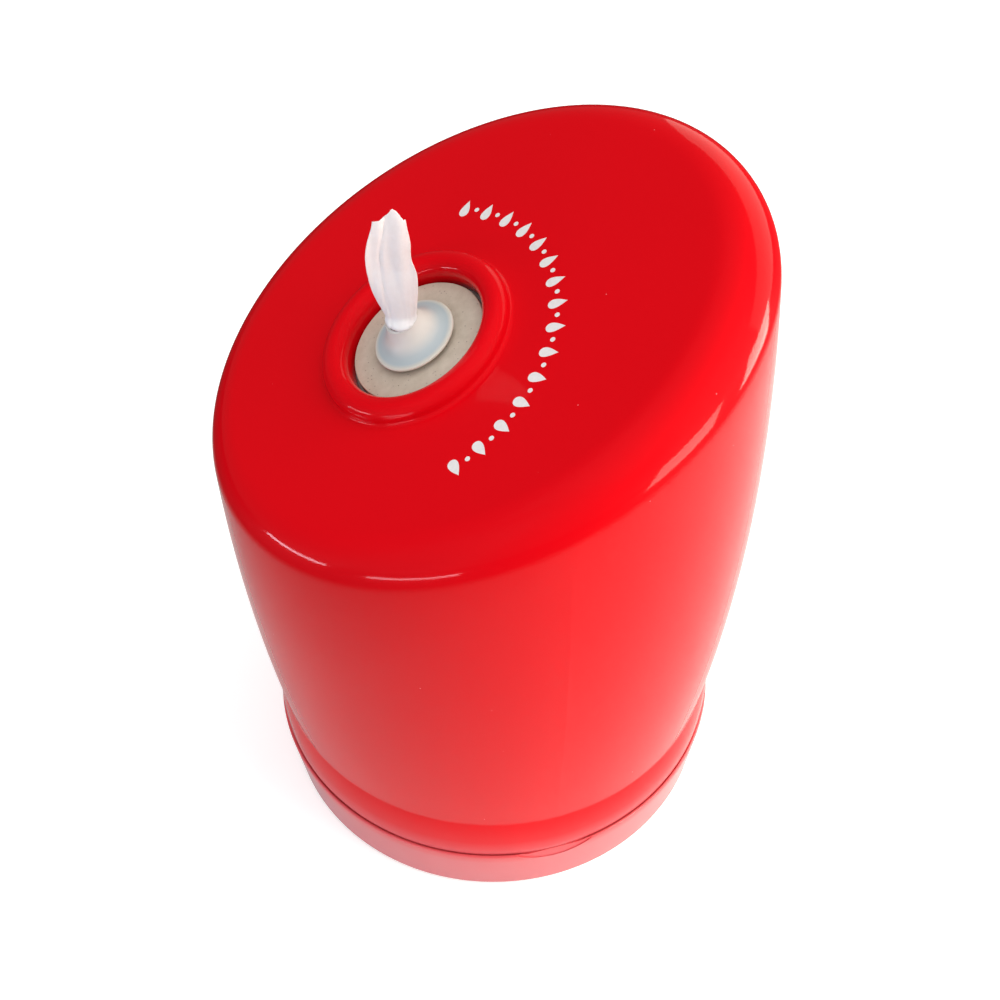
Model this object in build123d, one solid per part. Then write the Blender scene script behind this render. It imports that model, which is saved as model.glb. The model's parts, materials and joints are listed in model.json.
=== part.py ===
"""Countertop dispenser for wet wipes: a slant-topped cover over a weighted base, a liner and a refill roll.

Millimetres, +Z up. The origin is on the supporting surface, on the body's centre line.
The top slopes down towards -Y, the front, and the nozzle stands square to that slope.
"""
from build123d import *
from math import cos, radians, sin, sqrt, tan
import os

# ---------------------------------------------------------------- driving dimensions
# Overall form
BELLY_RADIUS = 105.1        # widest outside radius of the cover's wall
BELLY_HEIGHT = 188.6        # height of that widest place
WALL_BOW_RADIUS = 970.0     # radius of the wall's gentle bow, seen from the side
TOP_HEIGHT = 256.1          # height of the sloping top on the centre line
TOP_SLOPE = 25.2            # degrees that the top slopes down to the front
EDGE_ROUND = 17.5           # rounding of the edge between top and wall
COVER_WALL = 3.0            # moulded wall of the cover

# Skirt and base
FOOT_STAND = 1.5            # the feet hold the base this far off the surface
BASE_HEIGHT = 29.6          # base's outside wall, from its lower edge up to the seam
SKIRT_HEIGHT = 19.4         # straight band of the cover above the seam
FLARE_HEIGHT = 6.0          # the wall swells out to the skirt over this height
SKIRT_PROUD = 0.9           # the skirt stands this far out of the wall
SEAM_STEP = 0.7             # the base's shoulder stands this far outside the skirt
SEAM_CHAMFER = 0.8          # chamfer on the skirt's lower edge, which makes the seam a groove
SHOULDER_ROUND = 1.2        # rounding of the base's shoulder
BASE_TAPER = 3.0            # the base draws in this much towards its lower edge
BASE_EDGE_ROUND = 3.0       # rounding of the base's lower edge
SKIRT_WALL = 3.6            # thickness of the skirt
SEAT_CLEARANCE = 0.4        # skirt to the base's upstand, all round
UPSTAND_WALL = 3.0          # the base's upstand, inside the skirt
UPSTAND_HEIGHT = 15.0       # how far the upstand rises above the seam
FLOOR_WALL = 3.0            # the base tray's floor
NOTCH_WIDTH = 34.0          # thumb notch under the seam, across
NOTCH_HEIGHT = 5.0          # thumb notch, top to bottom
NOTCH_DEPTH = 2.0           # thumb notch, into the base

# Cover seal
SEAL_HEIGHT = 3.0           # section of the seal, up and down
SEAL_DEPTH = 2.0            # how far the seal is let into the upstand
SEAL_CLEARANCE = 0.3        # between the relaxed seal and the skirt
SEAL_RISE = 8.0             # middle of the seal above the seam

# Underside
BOTTOM_PLATE = 2.5          # bottom cover's thickness
BOTTOM_CLEARANCE = 0.3      # bottom cover in its rebate, all round
REBATE_WALL = 6.4           # base wall outside the bottom cover, at the lower edge
BALLAST_THICKNESS = 9.0     # steel ballast disc
BALLAST_CLEARANCE = 4.8     # ballast and pad to the bottom screws' bosses
PAD_THICKNESS = 1.0         # foam pad between ballast and bottom cover
FASTENER_INSET = 10.0       # bottom screws and feet, in from the bottom cover's edge
BOTTOM_SCREWS = 4
FEET = 4
FOOT_RADIUS = 7.5
FOOT_POCKET = 1.0           # pocket in the bottom cover that each foot sits in
FOOT_STUD_RADIUS = 2.4      # stud of a foot, through the bottom cover
FOOT_BARB_RADIUS = 3.2      # barb on the end of the stud

# Collar and nozzle plate, square to the slope
COLLAR_OFFSET = 28.7        # collar's centre below the body's centre line, along the slope
OPENING_RADIUS = 27.2       # opening inside the collar
BEAD_RADIUS = 4.9           # half the width of the collar's rolled bead
BEAD_RISE = 1.6             # centre of the bead's round above the top
COLLAR_WALL = 2.6           # thickness of the rolled bead
LIP_DEPTH = 5.0             # inner lip of the collar, below the top
PLATE_GAP = 1.4             # nozzle plate to the opening, all round
PLATE_SINK = 1.0            # nozzle plate's face below the top
PLATE_WALL = 2.5            # nozzle plate and its flange
PLATE_FLANGE_WIDTH = 10.0   # flange beyond the plate's raised middle
GASKET_THICKNESS = 1.5
GASKET_WIDTH = 6.5
BOSS_CIRCLE = 43.0          # radius of the circle of clamp screws
BOSS_RADIUS = 3.8
CLAMP_SCREWS = 4
CLAMP_THICKNESS = 3.0
CLAMP_RIM = 5.0             # clamp ring outside its screw circle
CLAMP_GRIP = 6.0            # clamp ring under the plate's flange

# Nozzle
BUSH_BORE = 6.0             # radius of the passage through the bush
BUSH_WALL = 2.0
BUSH_FLANGE_WIDTH = 1.6     # bush flange beyond its tube
BUSH_FLANGE = 1.5           # bush flange, thickness
BUSH_HOLE_FIT = 0.3         # bush in the hole of the nozzle plate
WASHER = 1.0                # thickness of both nozzle washers
WASHER_WIDTH = 2.4          # washer beyond the bush's tube
NUT_HEIGHT = 5.0
NUT_WIDTH = 5.0             # nut beyond the bush's tube
BUSH_TAIL = 2.0             # bush below the nut
DOME_RIM_RADIUS = 14.9      # mushroom dome's rim
DOME_RIM_LIFT = 2.2         # underside of the rim above the nozzle plate
DOME_RIM_THICKNESS = 1.3
DOME_HEIGHT = 12.4          # dome's mouth above the nozzle plate
DOME_SKIN = 1.4             # dome's hub round the bush flange
MOUTH_RADIUS = 5.0          # mouth that pinches the wipe
MOUTH_LENGTH = 2.2          # length of the narrow mouth

# Wipe
WIPE_CLEARANCE = 0.4        # gathered wipe to the mouth, all round
STRAND_REACH = 112.0        # gathered strand below the top, along the nozzle's axis
TAIL_HEIGHT = 49.0          # torn end above the dome's mouth
TAIL_LEAN = 3.0             # the torn end hangs this far to the front
TAIL_WIDTH = 16.0
TAIL_THICKNESS = 7.0
TAIL_OPENING = ((0.0, 0.0), (0.1, 0.4), (0.3, 0.85), (0.6, 1.0), (1.0, 0.85))  # share of height, of width

# Liner and refill roll
LINER_CLEARANCE = 1.6       # liner to the base's upstand, all round
LINER_WALL = 1.8
LINER_HEIGHT = 150.0
LINER_TAPER = 1.5           # liner is this much narrower at its foot, in radius
LINER_RIM_WIDTH = 2.6       # rolled rim beyond the liner's wall
LINER_RIM_DEPTH = 5.0
ROLL_CLEARANCE = 2.4        # roll to the liner's foot, all round
ROLL_HEIGHT = 158.0
ROLL_BORE = 28.0            # radius of the hole up the roll's middle
ROLL_LIFT = 0.3             # soft roll rests this far over the liner's floor

# Fasteners
SCREW_FIT = 0.05            # screw shank in its pilot hole
HEAD_FIT = 0.3              # clearance hole round a shank
CLAMP_SHANK = 1.45          # shank radius of the clamp screws
CLAMP_HEAD = 2.8
CLAMP_HEAD_HEIGHT = 2.0
CLAMP_SCREW_DEPTH = 6.0     # clamp screws into their bosses
BOTTOM_SHANK = 1.7
BOTTOM_HEAD = 3.2
BOTTOM_HEAD_HEIGHT = 1.6
BOTTOM_SCREW_DEPTH = 6.5    # bottom screws into their bosses
PILOT_SPARE = 1.0           # pilot holes are this much deeper than their screws
BOTTOM_BOSS_RADIUS = 4.2
SOCKET_RADIUS = 1.1         # drive recess in every screw head

# ---------------------------------------------------------------- places worked out from them
SEAM_Z = FOOT_STAND + BASE_HEIGHT
SKIRT_TOP_Z = SEAM_Z + SKIRT_HEIGHT
WALL_FOOT_Z = SKIRT_TOP_Z + FLARE_HEIGHT
HIGH_Z = TOP_HEIGHT + BELLY_RADIUS * tan(radians(TOP_SLOPE)) + EDGE_ROUND


def wall_radius(z):
    """Outside radius of the bowed wall at height z."""
    return BELLY_RADIUS - WALL_BOW_RADIUS + sqrt(WALL_BOW_RADIUS**2 - (z - BELLY_HEIGHT)**2)


SKIRT_RADIUS = wall_radius(WALL_FOOT_Z) + SKIRT_PROUD
SKIRT_BORE = SKIRT_RADIUS - SKIRT_WALL
BASE_TOP_RADIUS = SKIRT_RADIUS + SEAM_STEP
BASE_FOOT_RADIUS = BASE_TOP_RADIUS - BASE_TAPER
UPSTAND_RADIUS = SKIRT_BORE - SEAT_CLEARANCE
UPSTAND_BORE = UPSTAND_RADIUS - UPSTAND_WALL
UPSTAND_TOP_Z = SEAM_Z + UPSTAND_HEIGHT
REBATE_RADIUS = BASE_FOOT_RADIUS - REBATE_WALL
BOTTOM_COVER_RADIUS = REBATE_RADIUS - BOTTOM_CLEARANCE
FASTENER_CIRCLE = BOTTOM_COVER_RADIUS - FASTENER_INSET
BALLAST_RADIUS = FASTENER_CIRCLE - BOTTOM_BOSS_RADIUS - BALLAST_CLEARANCE
PLATE_TOP_Z = FOOT_STAND + BOTTOM_PLATE
BALLAST_Z = PLATE_TOP_Z + PAD_THICKNESS
FLOOR_UNDER_Z = BALLAST_Z + BALLAST_THICKNESS
FLOOR_Z = FLOOR_UNDER_Z + FLOOR_WALL

LINER_TOP_RADIUS = UPSTAND_BORE - LINER_CLEARANCE
LINER_FOOT_RADIUS = LINER_TOP_RADIUS - LINER_TAPER
LINER_TOP_Z = FLOOR_Z + LINER_HEIGHT
ROLL_RADIUS = LINER_FOOT_RADIUS - LINER_WALL - ROLL_CLEARANCE
ROLL_Z = FLOOR_Z + LINER_WALL + ROLL_LIFT

# Heights along the nozzle's axis, counted from the sloping top
PLATE_FACE = -PLATE_SINK
FLANGE_TOP = -LIP_DEPTH - GASKET_THICKNESS
FLANGE_UNDER = FLANGE_TOP - PLATE_WALL
PLATE_UNDER = PLATE_FACE - PLATE_WALL
BUSH_SEAT = PLATE_FACE + WASHER
PLATE_RADIUS = OPENING_RADIUS - PLATE_GAP
FLANGE_RADIUS = PLATE_RADIUS + PLATE_FLANGE_WIDTH
BUSH_RADIUS = BUSH_BORE + BUSH_WALL
BUSH_FLANGE_RADIUS = BUSH_RADIUS + BUSH_FLANGE_WIDTH
NUT_TOP = PLATE_UNDER - WASHER
NUT_UNDER = NUT_TOP - NUT_HEIGHT
MOUTH = PLATE_FACE + DOME_HEIGHT
STRAND_RADIUS = MOUTH_RADIUS - WIPE_CLEARANCE
BEAD_CENTRE = OPENING_RADIUS + BEAD_RADIUS
COLLAR_FOOT = OPENING_RADIUS + 2 * BEAD_RADIUS + BEAD_RISE

TOP_PLANE = Plane(origin=(0, 0, TOP_HEIGHT), x_dir=(1, 0, 0),
                  z_dir=(0, -sin(radians(TOP_SLOPE)), cos(radians(TOP_SLOPE))))
NOZZLE = Plane(origin=TOP_PLANE.from_local_coords(Vector(0, -COLLAR_OFFSET, 0)),
               x_dir=TOP_PLANE.x_dir, z_dir=TOP_PLANE.z_dir)


# ---------------------------------------------------------------- helpers
def at(radius, z):
    """Point of a turned outline, at a radius and a height."""
    return Vector(radius, 0, z)


def turned(*edges):
    """Solid of revolution about Z inside the closed outline that the edges make."""
    return revolve(make_face(edges), Axis.Z)


def turned_polygon(*corners):
    """Solid of revolution about Z of an outline of straight sides, given as (radius, height) corners."""
    return turned(*Polyline(*[at(*corner) for corner in corners], close=True).edges())


def tube(outer, inner, low, high):
    """Straight tube between two radii and two heights."""
    return turned_polygon((inner, low), (outer, low), (outer, high), (inner, high))


def disc(radius, low, high):
    """Disc between two heights."""
    return turned_polygon((0, low), (radius, low), (radius, high), (0, high))


def around(count, radius, first=0.0):
    """Places evenly spaced on a circle."""
    return [Rot(0, 0, first + 360.0 * k / count) * Pos(radius, 0, 0) for k in range(count)]


def copies(places, solid):
    """One compound of separate copies of a solid, one at each place."""
    return Compound(children=[place * solid for place in places])


def pan_screw(shank, head, head_height, length):
    """Pan-head screw along Z: shank up from height 0, head below it, with a drive recess."""
    body = disc(shank, 0, length) + disc(head, -head_height, 0)
    rounded = fillet(body.edges().sort_by(Axis.Z)[0], head_height / 2)
    return rounded - disc(SOCKET_RADIUS, -head_height, -head_height / 3)


# ---------------------------------------------------------------- cover
def wall_outline(low_z, inset):
    """Bowed wall's outline from low_z to above the slope, drawn in by inset."""
    heights = [low_z + (HIGH_Z - low_z) * k / 4 for k in range(5)]
    return Spline(*[at(wall_radius(z) - inset, z) for z in heights])


def slope_cut(body, inset):
    """Cut a body off along the sloping top, lowered by inset, and round the edge."""
    plane = TOP_PLANE.offset(-inset)
    reach = 4 * BELLY_RADIUS
    above = plane * Box(reach, reach, reach, align=(Align.CENTER, Align.CENTER, Align.MIN))
    cut = body - above
    top = cut.faces().sort_by(Axis(plane.origin, plane.z_dir))[-1]
    return fillet(top.edges(), EDGE_ROUND - inset)


def cover_outside():
    """Outer form: chamfered skirt, flare, bowed wall and rounded sloping top."""
    wall = wall_outline(WALL_FOOT_Z, 0)
    flare = Spline(at(SKIRT_RADIUS, SKIRT_TOP_Z), wall @ 0, tangents=(Vector(0, 0, 1), wall % 0))
    outline = Polyline(wall @ 1, at(0, HIGH_Z), at(0, SEAM_Z), at(SKIRT_RADIUS - SEAM_CHAMFER, SEAM_Z),
                       at(SKIRT_RADIUS, SEAM_Z + SEAM_CHAMFER), at(SKIRT_RADIUS, SKIRT_TOP_Z))
    return slope_cut(turned(wall, flare, *outline.edges()), 0)


def cover_hollow():
    """Inner form: straight bore of the skirt, then the wall's inside."""
    wall = wall_outline(WALL_FOOT_Z, COVER_WALL)
    low = SEAM_Z - COVER_WALL
    outline = Polyline(wall @ 1, at(0, HIGH_Z), at(0, low), at(SKIRT_BORE, low),
                       at(SKIRT_BORE, SKIRT_TOP_Z), wall @ 0)
    return slope_cut(turned(wall, *outline.edges()), COVER_WALL)


def collar():
    """Rolled bead round the opening, with its inner lip, in the nozzle's own frame."""
    lap = COLLAR_FOOT + COVER_WALL
    bead_out = OPENING_RADIUS + 2 * BEAD_RADIUS
    inside = BEAD_RADIUS - COLLAR_WALL
    turn = BEAD_RISE * (1 - cos(radians(45)))
    foot = ThreePointArc(at(COLLAR_FOOT, 0), at(bead_out + turn, turn), at(bead_out, BEAD_RISE))
    crown = ThreePointArc(at(bead_out, BEAD_RISE), at(BEAD_CENTRE, BEAD_RISE + BEAD_RADIUS),
                          at(OPENING_RADIUS, BEAD_RISE))
    lip = Polyline(at(OPENING_RADIUS, BEAD_RISE), at(OPENING_RADIUS, -LIP_DEPTH),
                   at(OPENING_RADIUS + COLLAR_WALL, -LIP_DEPTH), at(OPENING_RADIUS + COLLAR_WALL, BEAD_RISE))
    groove = ThreePointArc(at(OPENING_RADIUS + COLLAR_WALL, BEAD_RISE), at(BEAD_CENTRE, BEAD_RISE + inside),
                           at(BEAD_CENTRE + inside, BEAD_RISE))
    back = Polyline(at(BEAD_CENTRE + inside, BEAD_RISE), at(BEAD_CENTRE + inside, -COVER_WALL),
                    at(lap, -COVER_WALL), at(lap, 0), at(COLLAR_FOOT, 0))
    return turned(foot, crown, *lip.edges(), groove, *back.edges())


def clamp_boss():
    """Boss for a clamp screw, down from the top's underside."""
    boss = disc(BOSS_RADIUS, FLANGE_UNDER, -COVER_WALL / 2)
    pilot = disc(CLAMP_SHANK + SCREW_FIT, FLANGE_UNDER, FLANGE_UNDER + CLAMP_SCREW_DEPTH + PILOT_SPARE)
    return boss, pilot


def cover_shell():
    """One moulding: skirt, wall, sloping top, rolled collar and four bosses."""
    shell = cover_outside() - cover_hollow()
    shell -= NOZZLE * disc(COLLAR_FOOT + COVER_WALL / 2, -2 * COVER_WALL, COVER_WALL)
    shell += NOZZLE * collar()
    boss, pilot = clamp_boss()
    for place in around(CLAMP_SCREWS, BOSS_CIRCLE, 180.0 / CLAMP_SCREWS):
        shell += NOZZLE * place * boss
        shell -= NOZZLE * place * pilot
    return shell


# ---------------------------------------------------------------- nozzle plate and its clamp
def nozzle_plate():
    """Top-hat disc: raised middle seen inside the collar, flange clamped under it."""
    flange = disc(FLANGE_RADIUS, FLANGE_UNDER, FLANGE_TOP)
    raised = disc(PLATE_RADIUS, FLANGE_UNDER, PLATE_FACE)
    hollow = disc(PLATE_RADIUS - PLATE_WALL, FLANGE_UNDER, PLATE_UNDER)
    hole = disc(BUSH_RADIUS + BUSH_HOLE_FIT, PLATE_UNDER, PLATE_FACE)
    return NOZZLE * (flange + raised - hollow - hole)


def plate_gasket():
    """Flat gasket between the plate's flange and the collar's lip."""
    inner = PLATE_RADIUS + BUSH_HOLE_FIT
    return NOZZLE * tube(inner + GASKET_WIDTH, inner, FLANGE_TOP, -LIP_DEPTH)


def clamp_ring():
    """Ring that screws up to the bosses and holds the plate's flange."""
    under = FLANGE_UNDER - CLAMP_THICKNESS
    ring = tube(BOSS_CIRCLE + CLAMP_RIM, FLANGE_RADIUS - CLAMP_GRIP, under, FLANGE_UNDER)
    hole = disc(CLAMP_SHANK + HEAD_FIT, under, FLANGE_UNDER)
    for place in around(CLAMP_SCREWS, BOSS_CIRCLE, 180.0 / CLAMP_SCREWS):
        ring -= place * hole
    return NOZZLE * ring


def clamp_screws():
    """Four screws up through the clamp ring into the bosses."""
    screw = pan_screw(CLAMP_SHANK, CLAMP_HEAD, CLAMP_HEAD_HEIGHT, CLAMP_THICKNESS + CLAMP_SCREW_DEPTH)
    seat = Pos(0, 0, FLANGE_UNDER - CLAMP_THICKNESS)
    places = around(CLAMP_SCREWS, BOSS_CIRCLE, 180.0 / CLAMP_SCREWS)
    return copies([NOZZLE * place * seat for place in places], screw)


# ---------------------------------------------------------------- nozzle
def nozzle_bush():
    """Rigid flanged tube through the nozzle plate."""
    stem = tube(BUSH_RADIUS, BUSH_BORE, NUT_UNDER - BUSH_TAIL, BUSH_SEAT + BUSH_FLANGE)
    flange = tube(BUSH_FLANGE_RADIUS, BUSH_BORE, BUSH_SEAT, BUSH_SEAT + BUSH_FLANGE)
    return NOZZLE * (stem + flange)


def upper_washer():
    """Sealing washer under the bush and the dome, on the plate's face."""
    outer = BUSH_FLANGE_RADIUS + DOME_SKIN
    return NOZZLE * tube(outer, BUSH_RADIUS + BUSH_HOLE_FIT, PLATE_FACE, BUSH_SEAT)


def lower_washer():
    """Washer between the plate's underside and the nut."""
    return NOZZLE * tube(BUSH_RADIUS + WASHER_WIDTH, BUSH_RADIUS + BUSH_HOLE_FIT, NUT_TOP, PLATE_UNDER)


def nozzle_nut():
    """Hexagonal nut that draws the bush down."""
    across = BUSH_RADIUS + NUT_WIDTH
    hexagon = extrude(Plane.XY.offset(NUT_UNDER) * RegularPolygon(across, 6), NUT_HEIGHT)
    return NOZZLE * (hexagon - disc(BUSH_RADIUS + SCREW_FIT, NUT_UNDER, NUT_TOP))


def nozzle_dome():
    """Soft mushroom dome, snapped over the bush flange, with the mouth that the wipe leaves by."""
    hub = BUSH_FLANGE_RADIUS + DOME_SKIN
    rim_low = PLATE_FACE + DOME_RIM_LIFT
    rim_high = rim_low + DOME_RIM_THICKNESS
    brow = MOUTH_RADIUS + DOME_SKIN
    chamber = BUSH_SEAT + BUSH_FLANGE
    edge = DOME_RIM_RADIUS + DOME_RIM_THICKNESS / 2
    rim = ThreePointArc(at(DOME_RIM_RADIUS, rim_low), at(edge, (rim_low + rim_high) / 2),
                        at(DOME_RIM_RADIUS, rim_high))
    middle = at((DOME_RIM_RADIUS + brow) / 2, rim_high + (MOUTH - rim_high) / 4)
    crown = Spline(at(DOME_RIM_RADIUS, rim_high), middle, at(brow, MOUTH),
                   tangents=(Vector(-2, 0, 1), Vector(-1, 0, 4)))
    inside = Polyline(at(brow, MOUTH), at(MOUTH_RADIUS, MOUTH), at(MOUTH_RADIUS, MOUTH - MOUTH_LENGTH),
                      at(BUSH_BORE, chamber + DOME_SKIN), at(BUSH_BORE, chamber),
                      at(BUSH_FLANGE_RADIUS, chamber), at(BUSH_FLANGE_RADIUS, BUSH_SEAT),
                      at(hub, BUSH_SEAT), at(hub, rim_low), at(DOME_RIM_RADIUS, rim_low))
    return NOZZLE * turned(rim, crown, *inside.edges())


# ---------------------------------------------------------------- wipe
def wipe_strand():
    """Gathered wipe from the dome's mouth down into the roll's bore, in line with the nozzle."""
    return NOZZLE * disc(STRAND_RADIUS, -STRAND_REACH, MOUTH)


def wipe_tail():
    """Torn end of the wipe that stands out of the mouth and opens upwards."""
    mouth = NOZZLE.from_local_coords(Vector(0, 0, MOUTH))
    sections = []
    for rise, opening in TAIL_OPENING:
        half_width = STRAND_RADIUS + (TAIL_WIDTH / 2 - STRAND_RADIUS) * opening
        half_depth = STRAND_RADIUS + (TAIL_THICKNESS / 2 - STRAND_RADIUS) * opening
        tilt = radians(TOP_SLOPE * (1 - rise)**3)
        centre = mouth + Vector(0, -TAIL_LEAN * rise, TAIL_HEIGHT * rise)
        plane = Plane(origin=centre, x_dir=(1, 0, 0), z_dir=(0, -sin(tilt), cos(tilt)))
        sections.append(plane * Ellipse(half_depth, half_width))
    return loft(sections)


# ---------------------------------------------------------------- liner and refill
def liner_bucket():
    """Thin tapered liner with a rolled rim."""
    top, foot = LINER_TOP_RADIUS, LINER_FOOT_RADIUS
    rim = top + LINER_RIM_WIDTH
    return turned_polygon((0, FLOOR_Z), (foot, FLOOR_Z), (top, LINER_TOP_Z - LINER_RIM_DEPTH),
                          (rim, LINER_TOP_Z - LINER_RIM_DEPTH), (rim, LINER_TOP_Z),
                          (top - LINER_WALL, LINER_TOP_Z), (foot - LINER_WALL, FLOOR_Z + LINER_WALL),
                          (0, FLOOR_Z + LINER_WALL))


def refill_roll():
    """Coreless roll of wipes, drawn from its middle."""
    return tube(ROLL_RADIUS, ROLL_BORE, ROLL_Z, ROLL_Z + ROLL_HEIGHT)


# ---------------------------------------------------------------- base
def thumb_notch():
    """Shallow scoop under the seam on the right side, cut from the base only."""
    half = NOTCH_WIDTH / 2
    radius = (half**2 + NOTCH_HEIGHT**2) / (2 * NOTCH_HEIGHT)
    axis = Plane(origin=(BASE_TOP_RADIUS - NOTCH_DEPTH, 0, SEAM_Z - NOTCH_HEIGHT + radius), z_dir=(1, 0, 0))
    scoop = axis * Cylinder(radius, 2 * NOTCH_DEPTH, align=(Align.CENTER, Align.CENTER, Align.MIN))
    keep = Pos(0, 0, SEAM_Z) * Box(BELLY_RADIUS * 4, NOTCH_WIDTH * 2, radius * 4,
                                   align=(Align.CENTER, Align.CENTER, Align.MIN))
    return scoop - keep


def base_tray():
    """Base moulding: outside wall, floor, upstand that the skirt fits over, and screw bosses."""
    drop = BASE_EDGE_ROUND * (1 - cos(radians(45)))
    low = FOOT_STAND + BASE_EDGE_ROUND
    edge = ThreePointArc(at(BASE_FOOT_RADIUS, low), at(BASE_FOOT_RADIUS - drop, FOOT_STAND + drop),
                         at(BASE_FOOT_RADIUS - BASE_EDGE_ROUND, FOOT_STAND))
    turn = SHOULDER_ROUND * (1 - cos(radians(45)))
    shoulder = ThreePointArc(at(BASE_TOP_RADIUS - SHOULDER_ROUND, SEAM_Z), at(BASE_TOP_RADIUS - turn, SEAM_Z - turn),
                             at(BASE_TOP_RADIUS, SEAM_Z - SHOULDER_ROUND))
    outline = Polyline(at(BASE_FOOT_RADIUS - BASE_EDGE_ROUND, FOOT_STAND), at(REBATE_RADIUS, FOOT_STAND),
                       at(REBATE_RADIUS, FLOOR_UNDER_Z), at(0, FLOOR_UNDER_Z), at(0, FLOOR_Z),
                       at(UPSTAND_BORE, FLOOR_Z), at(UPSTAND_BORE, UPSTAND_TOP_Z),
                       at(UPSTAND_RADIUS, UPSTAND_TOP_Z), at(UPSTAND_RADIUS, SEAM_Z),
                       at(BASE_TOP_RADIUS - SHOULDER_ROUND, SEAM_Z))
    side = Line(at(BASE_TOP_RADIUS, SEAM_Z - SHOULDER_ROUND), at(BASE_FOOT_RADIUS, low))
    tray = turned(edge, *outline.edges(), shoulder, side)
    seal_z = SEAM_Z + SEAL_RISE
    tray -= tube(UPSTAND_RADIUS, UPSTAND_RADIUS - SEAL_DEPTH, seal_z - SEAL_HEIGHT / 2, seal_z + SEAL_HEIGHT / 2)
    notch = thumb_notch()
    tray -= notch
    tray -= Rot(0, 0, 180) * notch
    pilot = disc(BOTTOM_SHANK + SCREW_FIT, PLATE_TOP_Z, PLATE_TOP_Z + BOTTOM_SCREW_DEPTH + PILOT_SPARE)
    for place in around(BOTTOM_SCREWS, FASTENER_CIRCLE, 180.0 / BOTTOM_SCREWS):
        tray += place * disc(BOTTOM_BOSS_RADIUS, PLATE_TOP_Z, FLOOR_UNDER_Z)
        tray -= place * pilot
    return tray


def cover_seal():
    """Seal ring in the upstand's groove, with a rounded outer lip."""
    low = SEAM_Z + SEAL_RISE - SEAL_HEIGHT / 2
    high = low + SEAL_HEIGHT
    inner = UPSTAND_RADIUS - SEAL_DEPTH
    lip = SKIRT_BORE - SEAL_CLEARANCE
    face = UPSTAND_RADIUS - SEAT_CLEARANCE
    nose = ThreePointArc(at(face, low), at(lip, (low + high) / 2), at(face, high))
    back = Polyline(at(face, high), at(inner, high), at(inner, low), at(face, low))
    return turned(nose, *back.edges())


def bottom_cover():
    """Plate that closes the ballast space, with foot pockets and screw holes."""
    plate = disc(BOTTOM_COVER_RADIUS, FOOT_STAND, PLATE_TOP_Z)
    for place in around(BOTTOM_SCREWS, FASTENER_CIRCLE, 180.0 / BOTTOM_SCREWS):
        plate -= place * disc(BOTTOM_SHANK + HEAD_FIT, FOOT_STAND, PLATE_TOP_Z)
        plate -= place * disc(BOTTOM_HEAD + HEAD_FIT, FOOT_STAND, FOOT_STAND + BOTTOM_HEAD_HEIGHT)
    for place in around(FEET, FASTENER_CIRCLE):
        plate -= place * disc(FOOT_RADIUS + HEAD_FIT, FOOT_STAND, FOOT_STAND + FOOT_POCKET)
        plate -= place * disc(FOOT_STUD_RADIUS, FOOT_STAND, PLATE_TOP_Z)
    return plate


def ballast_plate():
    """Steel disc that keeps the dispenser down when a wipe is pulled."""
    return disc(BALLAST_RADIUS, BALLAST_Z, FLOOR_UNDER_Z)


def ballast_pad():
    """Foam pad that presses the ballast up against the floor."""
    return disc(BALLAST_RADIUS, PLATE_TOP_Z, BALLAST_Z)


def bottom_screws():
    """Four screws up through the bottom cover into the tray's bosses."""
    through = BOTTOM_PLATE - BOTTOM_HEAD_HEIGHT
    screw = pan_screw(BOTTOM_SHANK, BOTTOM_HEAD, BOTTOM_HEAD_HEIGHT, through + BOTTOM_SCREW_DEPTH)
    seat = Pos(0, 0, FOOT_STAND + BOTTOM_HEAD_HEIGHT)
    places = around(BOTTOM_SCREWS, FASTENER_CIRCLE, 180.0 / BOTTOM_SCREWS)
    return copies([place * seat for place in places], screw)


def foot():
    """Rubber foot with a stud and a barb that pops through the bottom cover."""
    pocket = FOOT_STAND + FOOT_POCKET
    barb = PLATE_TOP_Z + FOOT_STUD_RADIUS
    return turned_polygon((0, 0), (FOOT_RADIUS - FOOT_POCKET / 2, 0), (FOOT_RADIUS, FOOT_POCKET / 2),
                          (FOOT_RADIUS, pocket), (FOOT_STUD_RADIUS, pocket), (FOOT_STUD_RADIUS, PLATE_TOP_Z),
                          (FOOT_BARB_RADIUS, PLATE_TOP_Z), (FOOT_STUD_RADIUS / 2, barb), (0, barb))


# ---------------------------------------------------------------- write every piece
PIECES = {
    "cover_shell": cover_shell,
    "nozzle_plate": nozzle_plate,
    "plate_gasket": plate_gasket,
    "clamp_ring": clamp_ring,
    "clamp_screws": clamp_screws,
    "nozzle_bush": nozzle_bush,
    "upper_washer": upper_washer,
    "lower_washer": lower_washer,
    "nozzle_nut": nozzle_nut,
    "nozzle_dome": nozzle_dome,
    "wipe_strand": wipe_strand,
    "wipe_tail": wipe_tail,
    "liner_bucket": liner_bucket,
    "refill_roll": refill_roll,
    "base_tray": base_tray,
    "cover_seal": cover_seal,
    "bottom_cover": bottom_cover,
    "ballast_plate": ballast_plate,
    "ballast_pad": ballast_pad,
    "bottom_screws": bottom_screws,
}

os.makedirs("parts", exist_ok=True)
for name, make in PIECES.items():
    export_step(make(), f"parts/{name}.step")
for name, place in zip(("front", "right", "back", "left"), around(FEET, FASTENER_CIRCLE, -90)):
    export_step(place * foot(), f"parts/foot_{name}.step")
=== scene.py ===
# %% [markdown]
# # A countertop wipes dispenser
#
# The object is a red, slant-topped plastic cover on a weighted base. A rolled collar in the slope
# holds a grey plate with a soft white dome, and the torn end of a wipe stands in the dome's mouth.
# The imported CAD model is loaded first, as a fixed frame: it says where each piece is and how it moves.
# Everything below only gives those pieces their looks, in metres, in the same place.

# %% Load the frame
import json
import math
import random

import bmesh
import bpy
from mathutils import Matrix, Vector


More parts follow.
